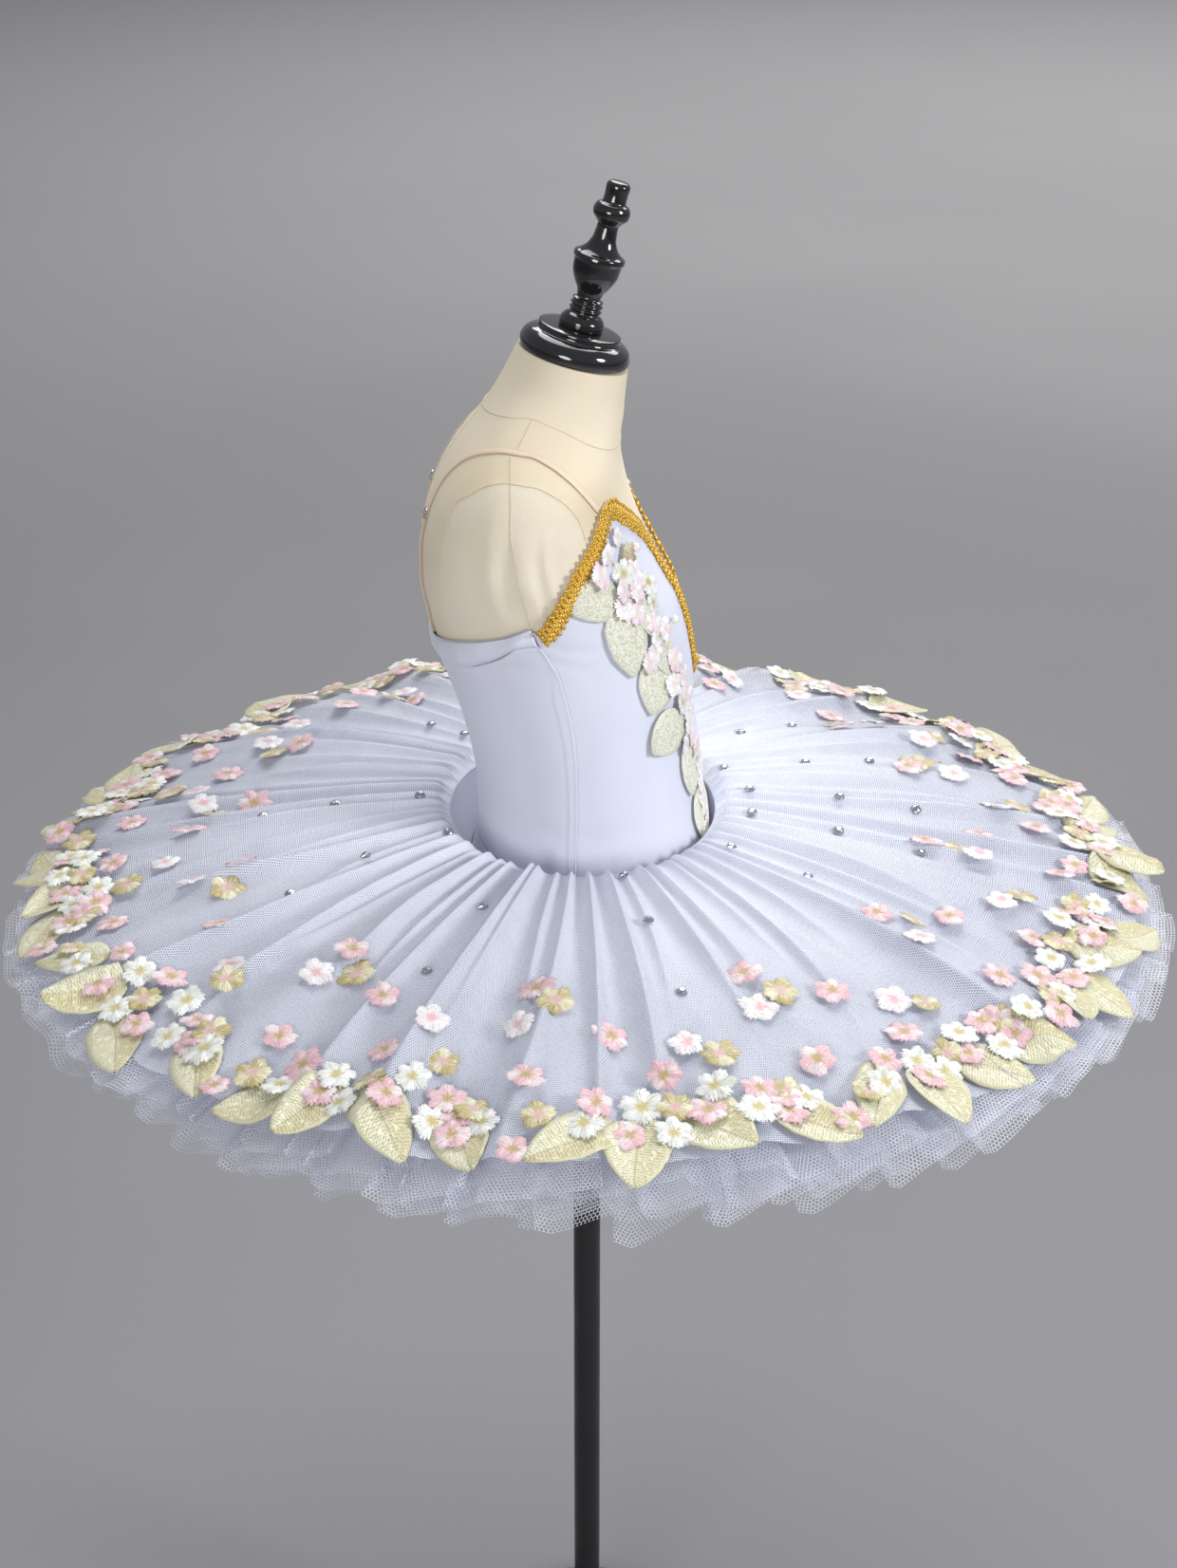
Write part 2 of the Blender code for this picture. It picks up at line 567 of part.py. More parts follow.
def build_spray(name, side):
    """Embroidered spray on the front panel, raised along its middle."""
    panel = surface_of("bodice_front")
    rows = []
    for spray_row in reversed(SPRAY_ROWS):
        row = []
        for i in range(SPRAY_COLUMNS + 1):
            degrees = mix(spray_row.inner, spray_row.outer, i / SPRAY_COLUMNS)
            crown = APPLIQUE_CROWN if 0 < i < SPRAY_COLUMNS else 0.0
            row.append(laid_point(panel, spray_row.height, side * degrees, SPRAY_LIFT + crown))
        rows.append(row if side > 0 else list(reversed(row)))
    add_cloth(name, rows, "leaf_embroidery", APPLIQUE_THICKNESS)


# ---------------------------------------------------------------- skirt
def opening_point(turn, outset=0.0):
    """Edge of the skirt's waist opening, or `outset` metres outside it."""
    middle = (OPENING_FRONT - OPENING_BACK) / 2
    half_depth = (OPENING_FRONT + OPENING_BACK) / 2 + outset
    half_width = OPENING_WIDTH_RADIUS + outset
    forward = middle + half_depth * math.cos(turn)
    return Vector((half_width * math.sin(turn), -forward, WAIST_HEIGHT))


def build_brief_and_yoke():
    """The brief, and the funnel of the hip yoke that hugs it below and carries the skirt's opening above."""
    stations = [360.0 * i / FORM_SIDES for i in range(FORM_SIDES)]
    heights = [row.height for row in FORM_SECTIONS if BRIEF_HEM <= row.height < HEM_HEIGHT]
    heights.append(HEM_HEIGHT - SEAM_GAP)
    rows = [[form_point(height, degrees, CLOTH_CLEARANCE) for degrees in stations] for height in heights]
    add_cloth("brief", rows, "white_spandex", CLOTH_THICKNESS, ring=True)
    brief = surface_of("brief")
    bottom = [laid_point(brief, YOKE_BOTTOM, degrees, CLOTH_STEP) for degrees in stations]
    rim = [opening_point(math.radians(degrees), YOKE_RIM_OUTSET) for degrees in stations]
    for point in rim:
        point.z = WAIST_HEIGHT + YOKE_RIM
    add_cloth("hip_yoke", [bottom, rim], "white_spandex", YOKE_THICKNESS, ring=True)


def skirt_share_point(share, turn, gather):
    """Point of the top layer at a share of the way from the opening to the rim."""
    rim = Vector((SKIRT_WIDTH_RADIUS * math.sin(turn), -SKIRT_DEPTH_RADIUS * math.cos(turn), WAIST_HEIGHT))
    point = opening_point(turn).lerp(rim, share)
    drop = SKIRT_DROP * mix(share**2, share, STRAIGHT_DROP)
    lip = OPENING_LIP * max(0.0, 1 - share / SKIRT_ROWS[1].share) ** 2
    folds = gather * math.cos(LEAF_COUNT * turn)
    folds += BROAD_FOLD_HEIGHT * share * math.sin(BROAD_FOLDS * turn + math.sin(turn))
    point.z += folds - drop - lip
    return point


def skirt_column(i):
    """Rows of the top layer at column i, and the point a given distance inside the leaf tips."""
    turn = math.tau * i / (LEAF_COUNT * POINTS_PER_WAVE)
    points = [skirt_share_point(row.share, turn, row.gather) for row in SKIRT_ROWS]
    length = SKIRT_DEPTH_RADIUS - OPENING_BACK

    def inside_tip(distance):
        share = 1 - distance / length
        last = SKIRT_ROWS[-2].share
        return points[-2].lerp(points[-1], (share - last) / (1 - last))

    return points, inside_tip


def build_skirt_top():
    """Gathered top layer of the skirt and the leaf border sewn on its rim."""
    columns = LEAF_COUNT * POINTS_PER_WAVE
    net_rows = [[] for _ in SKIRT_ROWS]
    border_rows = [[], []]
    lift = Vector((0.0, 0.0, BORDER_LIFT))
    for i in range(columns):
        leaf = LEAF_COLUMNS[i % POINTS_PER_WAVE]
        points, inside_tip = skirt_column(i)
        points[-1] = inside_tip(leaf.net_edge)
        for row, point in zip(net_rows, points):
            row.append(point)
        border_rows[0].append(inside_tip(leaf.tip) + lift)
        border_rows[1].append(inside_tip(leaf.base) + lift)
    add_cloth("skirt_top", list(reversed(net_rows)), "white_net", CLOTH_THICKNESS, ring=True, outward=False)
    add_cloth("leaf_border", border_rows, "leaf_embroidery", BORDER_THICKNESS, ring=True)


def build_nets():
    """Ruffled nets under the top layer, sewn one below the other to the yoke and the brief."""
    columns = NET_WAVES * POINTS_PER_WAVE
    for number, net in enumerate(NETS):
        carrier = surface_of(net.sewn_to)
        rows = [[], []]
        for i in range(columns):
            turn = math.tau * i / columns + number * NET_WAVE_SHIFT / NET_WAVES
            wave = math.cos(math.tau * i / POINTS_PER_WAVE)
            reach = net.reach + NET_RIPPLE * wave
            height = WAIST_HEIGHT + net.rim_height + net.wave * wave
            rows[0].append(Vector((reach * math.sin(turn), -reach * math.cos(turn), height)))
            rows[1].append(laid_point(carrier, net.sewn_height, math.degrees(turn), NET_STEP))
        add_cloth(net.name, rows, "white_net", CLOTH_THICKNESS, ring=True, outward=False)


def main():
    clear_scene()
    make_collection(COLLECTION_NAME)
    build_form()
    build_neck()
    build_stand()
    build_bodice_front()
    build_bodice_back()
    build_back_band()
    for name_end, side in (("left", 1), ("right", -1)):
        build_strap(f"strap_{name_end}", side)
        build_slider(f"strap_slider_{name_end}", side, f"strap_{name_end}")
        build_braid(f"gold_braid_{name_end}", side)
        build_spray(f"bodice_spray_{name_end}", side)
    build_brief_and_yoke()
    build_skirt_top()
    build_nets()


main()
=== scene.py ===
"""Child's ballet tutu on a limbless dress form: cloth, nets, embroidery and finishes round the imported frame.

Metres, +Z up. The figure faces -Y and its left side is +X. Heights in the tables are measured from the waist
opening of the skirt. Angles run round the figure in degrees: 0 at the front, 90 at its left, 180 at the back.
"""
import logging
import math
from collections.abc import Callable, Sequence
from dataclasses import dataclass
from enum import Enum

import bmesh
import bpy
import numpy as np
from mathutils import Matrix, Vector


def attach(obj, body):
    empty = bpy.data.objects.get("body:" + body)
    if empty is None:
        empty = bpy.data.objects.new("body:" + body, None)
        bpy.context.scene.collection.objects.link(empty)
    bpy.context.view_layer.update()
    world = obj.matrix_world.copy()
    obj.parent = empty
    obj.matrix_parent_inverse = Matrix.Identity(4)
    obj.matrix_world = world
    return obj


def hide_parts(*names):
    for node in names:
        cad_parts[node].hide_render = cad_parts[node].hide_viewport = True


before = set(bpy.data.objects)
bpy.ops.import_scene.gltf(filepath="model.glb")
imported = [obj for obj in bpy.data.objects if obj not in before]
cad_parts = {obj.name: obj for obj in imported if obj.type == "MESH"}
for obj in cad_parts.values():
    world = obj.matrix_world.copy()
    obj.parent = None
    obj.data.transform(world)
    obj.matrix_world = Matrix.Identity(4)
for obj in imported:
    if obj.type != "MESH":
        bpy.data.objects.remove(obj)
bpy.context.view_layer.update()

log = logging.getLogger("tutu")

Array = np.ndarray
Colour = tuple[float, float, float]
Material, Piece, Socket = bpy.types.Material, bpy.types.Object, bpy.types.NodeSocket

ROOT = "root"
WAIST_HEIGHT = 0.88
FULL_TURN = 360.0
MEAN_RADIUS = 0.1           # of the form, for small turns
METRES_PER_DEGREE = 0.00195  # round the bodice


# ---------------- curves and the figure
class Curve:
    """Smooth curve without overshoot through points with rising keys."""

    def __init__(self, keys: Sequence[float], values: Sequence[float]) -> None:
        """Args:
            keys: rising positions.
            values: the curve's value at each of them.
        """
        self.keys = np.array(keys, float)
        self.values = np.array(values, float)
        slopes = np.diff(self.values) / np.diff(self.keys)
        before, after = slopes[:-1], slopes[1:]
        rising = before * after > 0
        total = np.where(rising, before + after, 1.0)
        inner = np.where(rising, 2 * before * after / total, 0.0)
        self.tangents = np.concatenate(([slopes[0]], inner, [slopes[-1]]))

    def at(self, position: Array) -> Array:
        """Reads the curve, held at its ends.

        Args:
            position: where to read it.

        Returns:
            Its value at each position.
        """
        keys, values, tangents = self.keys, self.values, self.tangents
        position = np.clip(np.asarray(position, float), keys[0], keys[-1])
        i = np.clip(np.searchsorted(keys, position, side="right") - 1, 0, len(keys) - 2)
        span = keys[i + 1] - keys[i]
        t = (position - keys[i]) / span
        return ((2 * t**3 - 3 * t**2 + 1) * values[i] + (t**3 - 2 * t**2 + t) * span * tangents[i]
                + (3 * t**2 - 2 * t**3) * values[i + 1] + (t**3 - t**2) * span * tangents[i + 1])


def smooth_step(low: float, high: float, value: Array) -> Array:
    """0 below low, 1 above high, and a soft ramp between them."""
    t = np.clip((np.asarray(value, float) - low) / (high - low), 0.0, 1.0)
    return t * t * (3 - 2 * t)


def mix(low: Array | float, high: Array | float, share: Array | float) -> Array | float:
    """Value a share of the way from low to high."""
    return low + (high - low) * share


def unit(vectors: Array) -> Array:
    """Vectors of length 1 along the last axis."""
    return vectors / np.maximum(np.linalg.norm(vectors, axis=-1, keepdims=True), 1e-12)


def run_along(path: Array) -> Array:
    """Length of a path up to each of its points."""
    return np.concatenate(([0.0], np.cumsum(np.linalg.norm(np.diff(path, axis=0), axis=1))))


def hump(away: Array, width: Array | float) -> Array:
    """Bell curve, 1 in its middle."""
    return np.exp(-((away / width) ** 2))


@dataclass(frozen=True)
class Section:
    """Level section of the form: its ends on the middle line, half width, squareness and rise to the back."""

    height: float
    back: float
    front: float
    half_width: float
    square: float
    tilt: float


FINIAL_TILT = math.radians(15.0)
NECK_TOP = 0.3448
NECK_MIDDLE = (0.0294 - 0.0491) / 2

FORM_SECTIONS = tuple(Section(*row) for row in (
    (-0.165, -0.087, 0.089, 0.109, 2.3, 0.0),
    (-0.15, -0.094, 0.096, 0.117, 2.3, 0.0),
    (-0.115, -0.097, 0.1, 0.121, 2.3, 0.0),
    (-0.075, -0.093, 0.098, 0.117, 2.25, 0.0),
    (-0.04, -0.085, 0.093, 0.109, 2.2, 0.0),
    (-0.01, -0.0803, 0.0893, 0.1035, 2.2, 0.0),
    (0.02, -0.0803, 0.0858, 0.1015, 2.2, 0.0),
    (0.05, -0.0843, 0.0825, 0.1025, 2.2, 0.0),
    (0.08, -0.0913, 0.0782, 0.1055, 2.2, 0.0),
    (0.11, -0.1008, 0.0768, 0.1095, 2.25, 0.0),
    (0.14, -0.1108, 0.0737, 0.1142, 2.3, 0.0),
    (0.17, -0.118, 0.066, 0.1205, 2.35, 0.0),
    (0.195, -0.1215, 0.053, 0.127, 2.4, 0.0),
    (0.22, -0.1205, 0.0405, 0.1315, 2.4, 0.0),
    (0.242, -0.1155, 0.0325, 0.1315, 2.35, 0.0),
    (0.26, -0.1085, 0.0275, 0.127, 2.3, 0.0),
    (0.275, -0.0995, 0.025, 0.117, 2.2, 0.02),
    (0.287, -0.09, 0.0245, 0.101, 2.15, 0.05),
    (0.298, -0.08, 0.025, 0.0815, 2.1, 0.09),
    (0.31, -0.07, 0.0265, 0.06, 2.05, 0.16),
    (0.325, -0.06, 0.0275, 0.046, 2.0, 0.22),
    (NECK_TOP, -0.0491, 0.0294, 0.04, 2.0, math.tan(FINIAL_TILT)),))

CHEST_SQUARE = 1.95         # the chest is rounder in front than the other sections


class Figure:
    """The form's surface, which every piece of the costume follows."""

    def __init__(self, sections: tuple[Section, ...]) -> None:
        """Args:
            sections: level sections from the hips up to the neck.
        """
        heights = [section.height for section in sections]
        self.curves = {name: Curve(heights, [getattr(section, name) for section in sections])
                       for name in ("back", "front", "half_width", "square", "tilt")}

    def point(self, height: Array, degrees: Array, lift: Array = 0.0) -> Array:
        """Points on the form or outside it.

        Args:
            height: above the waist.
            degrees: round the figure.
            lift: outside the form.

        Returns:
            Array of points, its last axis x, y and z.
        """
        height, degrees, lift = np.broadcast_arrays(height, degrees, lift)
        back, front, half_width, square, tilt = (curve.at(height) for curve in self.curves.values())
        angle = np.radians(degrees)
        cosine, sine = np.cos(angle), np.sin(angle)
        chest = smooth_step(0.08, 0.15, height) * (1 - smooth_step(0.25, 0.28, height)) * (cosine > 0)
        square = mix(square, CHEST_SQUARE, chest)
        forward = (front + back) / 2 + ((front - back) / 2 + lift) * np.sign(cosine) * np.abs(cosine) ** (2 / square)
        side = (half_width + lift) * np.sign(sine) * np.abs(sine) ** (2 / square)
        rise = tilt * ((front + back) / 2 - forward)
        return np.stack((side, -forward, WAIST_HEIGHT + height + rise), axis=-1)

    def axes(self, height: Array, degrees: Array, lift: Array) -> tuple[Array, ...]:
        """Finds the surface's directions at points on the form or outside it.

        Args:
            height: above the waist.
            degrees: round the figure.
            lift: outside the form.

        Returns:
            Points, outward normals, directions round the figure and directions up it.
        """
        step = 0.002
        turn = math.degrees(step / MEAN_RADIUS)
        around = self.point(height, degrees + turn, lift) - self.point(height, degrees - turn, lift)
        up = self.point(height + step, degrees, lift) - self.point(height - step, degrees, lift)
        return self.point(height, degrees, lift), unit(np.cross(around, up)), unit(around), unit(up)


FIGURE = Figure(FORM_SECTIONS)


# ---------------- mesh building
@dataclass
class Shell:
    """Vertices, faces and the values that ride on them, joined up before they become one mesh."""

    vertices: Array
    faces: list[tuple[int, ...]]
    uv: Array
    tone: Array


def grid_uv(across: Array, up: Array) -> Array:
    """Uv of a grid from the measures of its columns and its rows."""
    return np.stack(np.broadcast_arrays(across, up), axis=-1)


def grid_shell(points: Array, uv: Array, closed: bool = False, upward: bool = False,
               tone: Array | float = 0.0) -> Shell:
    """Open surface through a grid of points.

    Args:
        points: rows, columns, 3.
        uv: rows, columns, 2, with one column more on a closed surface.
        closed: the last column meets the first.
        upward: turns the faces over, for surfaces whose rows run outward.
        tone: a value from 0 to 1 for each point, or for all.

    Returns:
        The shell, with uv for each corner of each face.
    """
    rows, columns = points.shape[:2]
    count = columns if closed else columns - 1
    low, left = np.meshgrid(np.arange(rows - 1), np.arange(count), indexing="ij")
    right = (left + 1) % columns
    corners = np.stack((low * columns + left, low * columns + right,
                        (low + 1) * columns + right, (low + 1) * columns + left), axis=-1).reshape(-1, 4)
    spots = np.stack((uv[low, left], uv[low, left + 1], uv[low + 1, left + 1], uv[low + 1, left]),
                     axis=-2).reshape(-1, 4, 2)
    if upward:
        corners, spots = corners[:, ::-1], spots[:, ::-1]
    tones = np.broadcast_to(tone, (rows, columns)).reshape(-1)
    return Shell(points.reshape(-1, 3), [tuple(face) for face in corners.tolist()], spots.reshape(-1, 2), tones)


def tube_shell(path: Array, radius: float | Array, sides: int, normals: Array,
               closed: bool = False, tone: float = 0.0, flat: float = 1.0) -> Shell:
    """Round or flattened tube along a path, with closed ends.

    Args:
        path: points, 3.
        radius: half its width, for all or for each point.
        sides: flats round it.
        normals: the direction of its thickness at each point.
        closed: the path meets itself.
        tone: a value from 0 to 1 for the whole tube.
        flat: its thickness as a share of its width.

    Returns:
        The tube's shell; u runs round it from 0 to 1 and v along it in metres.
    """
    ahead = np.roll(path, -1, axis=0) - np.roll(path, 1, axis=0)
    if not closed:
        ahead[0], ahead[-1] = path[1] - path[0], path[-1] - path[-2]
    ahead = unit(ahead)
    across = unit(np.cross(ahead, normals))
    normals = unit(np.cross(across, ahead))
    turn = np.linspace(0.0, math.tau, sides, endpoint=False)
    radius = np.broadcast_to(radius, (len(path),))[:, None, None]
    ring = (across[:, None, :] * np.cos(turn)[None, :, None]
            + normals[:, None, :] * np.sin(turn)[None, :, None] * flat)
    points = path[:, None, :] + ring * radius
    if closed:
        points = np.concatenate((points, points[:1]))
    uv = grid_uv(np.linspace(0.0, 1.0, sides + 1), run_along(points[:, 0])[:, None])
    shell = grid_shell(points, uv, closed=True, tone=tone)
    if not closed:
        last = len(path) - 1
        caps = [tuple(reversed(range(sides))), tuple(range(last * sides, (last + 1) * sides))]
        shell.faces += caps
        shell.uv = np.concatenate((shell.uv, np.zeros((2 * sides, 2))))
    return shell


def join_shells(shells: list[Shell]) -> Shell:
    """Joins shells, each still loose from the others.

    Args:
        shells: at least one.

    Returns:
        One shell.
    """
    faces, start = [], 0
    for shell in shells:
        faces += [tuple(corner + start for corner in face) for face in shell.faces]
        start += len(shell.vertices)
    return Shell(np.concatenate([shell.vertices for shell in shells]), faces,
                 np.concatenate([shell.uv for shell in shells]), np.concatenate([shell.tone for shell in shells]))


def mesh_object(name: str, shell: Shell, material: Material, smooth: bool = True) -> Piece:
    """Makes a piece at the origin, with its uv map and its tone attribute.

    Args:
        name: the piece's name.
        shell: its surface.
        material: its finish.
        smooth: soft shading, or facets.

    Returns:
        The piece.
    """
    mesh = bpy.data.meshes.new(name)
    mesh.from_pydata(shell.vertices.tolist(), [], shell.faces)
    layer = mesh.uv_layers.new(name="cut")
    layer.data.foreach_set("uv", np.ascontiguousarray(shell.uv, dtype=np.float32).ravel())
    tone = mesh.attributes.new("tone", "FLOAT", "POINT")
    tone.data.foreach_set("value", np.ascontiguousarray(shell.tone, dtype=np.float32))
    mesh.materials.append(material)
    mesh.shade_smooth() if smooth else mesh.shade_flat()
    mesh.update()
    piece = bpy.data.objects.new(name, mesh)
    bpy.context.scene.collection.objects.link(piece)
    return piece


def thicken(piece: Piece, thickness: float, outward: bool = False) -> None:
    """Gives an open surface a wall on its outer or its inner side."""
    wall = piece.modifiers.new("wall", "SOLIDIFY")
    wall.thickness, wall.offset = thickness, 1.0 if outward else -1.0


def bake_modifiers(piece: Piece) -> None:
    """Replaces a piece's mesh by what its modifiers make of it.

    Args:
        piece: the piece, which loses its modifiers.
    """
    graph = bpy.context.evaluated_depsgraph_get()
    made = bpy.data.meshes.new_from_object(piece.evaluated_get(graph), depsgraph=graph)
    made.name = piece.name
    piece.modifiers.clear()
    piece.data = made


def fit(piece: Piece, slot: str, *nodes: str) -> None:
    """Sets a piece on the stand's body and hides the solids that it stands for.

    Args:
        piece: the finished piece.
        slot: not used.
        nodes: CAD nodes that it replaces.
    """
    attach(piece, ROOT)
    if nodes:
        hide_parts(*nodes)
    log.info("%s: %d faces", piece.name, len(piece.data.polygons))


def turned_shell(profile: list[tuple[float, float]], matrix: Matrix, sides: int) -> Shell:
    """Turns a profile round an axis and closes both ends.

    Args:
        profile: distances along the axis and radii, bottom to top.
        matrix: where the axis stands.
        sides: flats round the form.

    Returns:
        The form's shell; u runs round it and v along its profile.
    """
    closed = [(profile[0][0], 0.0001), *profile, (profile[-1][0], 0.0001)]
    along, radius = (np.array(values) for values in zip(*closed))
    turn = np.linspace(0.0, math.tau, sides, endpoint=False)
    local = np.stack((radius[:, None] * np.cos(turn), radius[:, None] * np.sin(turn),
                      np.broadcast_to(along[:, None], (len(along), sides))), axis=-1)
    turned = local @ np.array(matrix.to_3x3()).T + np.array(matrix.translation)
    run = run_along(np.stack((along, radius), axis=-1))
    return grid_shell(turned, grid_uv(np.linspace(0.0, 1.0, sides + 1), run[:, None]), closed=True)


# ---------------- shader building
class Tree:
    """A node tree, built one node at a time."""

    prefix = ""

    def __init__(self, tree: bpy.types.NodeTree) -> None:
        """Args:
            tree: the tree, still empty.
        """
        self.tree = tree

    def add(self, kind: str, sockets: dict | None = None, **settings: object) -> bpy.types.Node:
        """New node.

        Args:
            kind: node type without the tree's prefix.
            sockets: a link or a plain value for each named or numbered input.
            settings: properties of the node.

        Returns:
            The node.
        """
        node = self.tree.nodes.new(self.prefix + kind)
        for key, value in settings.items():
            setattr(node, key, value)
        for key, value in (sockets or {}).items():
            end = node.inputs[key]
            if isinstance(value, Socket):
                self.tree.links.new(value, end)
            else:
                end.default_value = (*value, 1.0) if end.type == "RGBA" else value
        return node


class Nodes(Tree):
    """A finish's node tree."""

    prefix = "ShaderNode"

    def __init__(self, name: str) -> None:
        """Args:
            name: the material's name.
        """
        self.material = bpy.data.materials.new(name)
        self.material.use_nodes = True
        super().__init__(self.material.node_tree)
        self.tree.nodes.clear()

    def math(self, operation: str, *values: object) -> Socket:
        """Result of a maths node."""
        return self.add("Math", dict(enumerate(values)), operation=operation).outputs[0]

    def times(self, first: object, second: object) -> Socket:
        """Product of two values."""
        return self.math("MULTIPLY", first, second)

    def wave(self, value: object, pitch: float) -> Socket:
        """Sine wave of a pitch."""
        return self.math("SINE", self.times(value, math.tau / pitch))

    def joined(self, *values: object) -> Socket:
        """Place of up to three values."""
        return self.add("CombineXYZ", dict(enumerate(values))).outputs[0]

    def vector(self, operation: str, *values: object) -> bpy.types.Node:
        """Vector maths node."""
        return self.add("VectorMath", dict(enumerate(values)), operation=operation)

    def blend(self, share: object, low: object, high: object) -> Socket:
        """Colour a share of the way from low to high."""
        return self.add("Mix", {0: share, 6: low, 7: high}, data_type="RGBA").outputs[2]

    def ramp(self, value: object, low: float, high: float, low_out: float = 0.0, high_out: float = 1.0) -> Socket:
        """Value moved from one range to another, held at the ends."""
        return self.add("MapRange", {0: value, 1: low, 2: high, 3: low_out, 4: high_out}).outputs[0]

    def cut(self) -> Socket:
        """The piece's own uv map, in metres of cloth."""
        return self.add("UVMap", uv_map="cut").outputs[0]

    def uv(self) -> tuple[Socket, Socket]:
        """Both halves of the uv map."""
        return tuple(self.add("SeparateXYZ", {0: self.cut()}).outputs[:2])

    def place(self) -> Socket:
        """Object coordinates, in metres."""
        return self.add("TexCoord").outputs["Object"]

    def tone(self) -> Socket:
        """The piece's tone attribute."""
        return self.add("Attribute", attribute_name="tone").outputs["Fac"]

    def noise(self, where: object, scale: float, detail: float = 2.0, stretch: tuple = (1, 1, 1)) -> object:
        """Noise value at a place, stretched along its axes."""
        spot = self.vector("MULTIPLY", where, stretch).outputs[0]
        return self.add("TexNoise", {"Vector": spot, "Scale": scale, "Detail": detail}).outputs[0]

    def lit(self, height: object, strength: float, depth: float, sockets: dict) -> Socket:
        """Principled surface with a relief of a strength, and of a depth in metres."""
        bump = self.add("Bump", {"Height": height, "Strength": strength, "Distance": depth})
        return self.add("BsdfPrincipled", {**sockets, "Normal": bump.outputs[0]}).outputs[0]

    def finish(self, surface: Socket) -> Material:
        """Links the surface to the output and returns the material."""
        self.add("OutputMaterial", {"Surface": surface})
        return self.material


@dataclass(frozen=True)
class WovenFinish:
    """Linen on the form, with stretched jersey where the tone is 1."""

    name: str
    colour: Colour = (0.735, 0.655, 0.515)
    deep: Colour = (0.7, 0.6, 0.42)
    jersey: Colour = (0.775, 0.72, 0.605)
    thread: float = 0.00055
    rib: float = 0.0016

    def material(self) -> Material:
        """Plain weave with slubs and faint clouding; the jersey's ribs run up and down."""
        n = Nodes(self.name)
        cut, tone, (u, v) = n.cut(), n.tone(), n.uv()
        weave = n.times(n.wave(u, self.thread), n.wave(v, self.thread))
        slub = n.noise(cut, 900.0, 2.0, (0.12, 1.0, 1.0))
        grid = n.noise(cut, 700.0, 1.0, (1.0, 0.1, 1.0))
        knit = n.times(n.wave(u, self.rib), n.wave(v, self.rib))
        clouds = n.noise(n.place(), 10.0, 3.0)
        base = n.blend(n.ramp(clouds, 0.3, 0.7), self.colour, self.deep)
        base = n.blend(n.times(n.ramp(slub, 0.45, 0.75), 0.3), base, self.deep)
        mesh = n.blend(n.ramp(n.math("ADD", knit, n.times(grid, 1.4)), 0.2, 1.5), self.jersey, self.colour)
        colour = n.blend(n.times(tone, 0.75), base, mesh)
        height = n.math("ADD", n.times(weave, 0.25), n.math("ADD", slub, n.times(knit, tone)))
        return n.finish(n.lit(height, 0.35, 0.0003, {"Base Color": colour, "Roughness": 0.82, "Sheen Weight": 0.15}))


@dataclass(frozen=True)
class StretchFinish:
    """White stretch knit with a soft satin face."""

    name: str
    colour: Colour = (0.665, 0.685, 0.785)
    deep: Colour = (0.6, 0.62, 0.735)
    wale: float = 0.0006

    def material(self) -> Material:
        """Fine wales with a cool, even face and a soft sheen."""
        n = Nodes(self.name)
        cut = n.cut()
        wales = n.wave(n.uv()[0], self.wale)
        courses = n.noise(cut, 1200.0, 1.0, (0.35, 1.0, 1.0))
        tension = n.noise(n.place(), 22.0, 2.0, (1.0, 1.0, 0.35))
        colour = n.blend(n.ramp(tension, 0.35, 0.75, 0.0, 0.6), self.colour, self.deep)
        height = n.math("ADD", n.times(wales, 0.5), courses)
        return n.finish(n.lit(height, 0.25, 0.00012, {
            "Base Color": colour, "Roughness": n.ramp(courses, 0.3, 0.7, 0.48, 0.62), "Sheen Weight": 0.25,
            "Sheen Roughness": 0.4}))


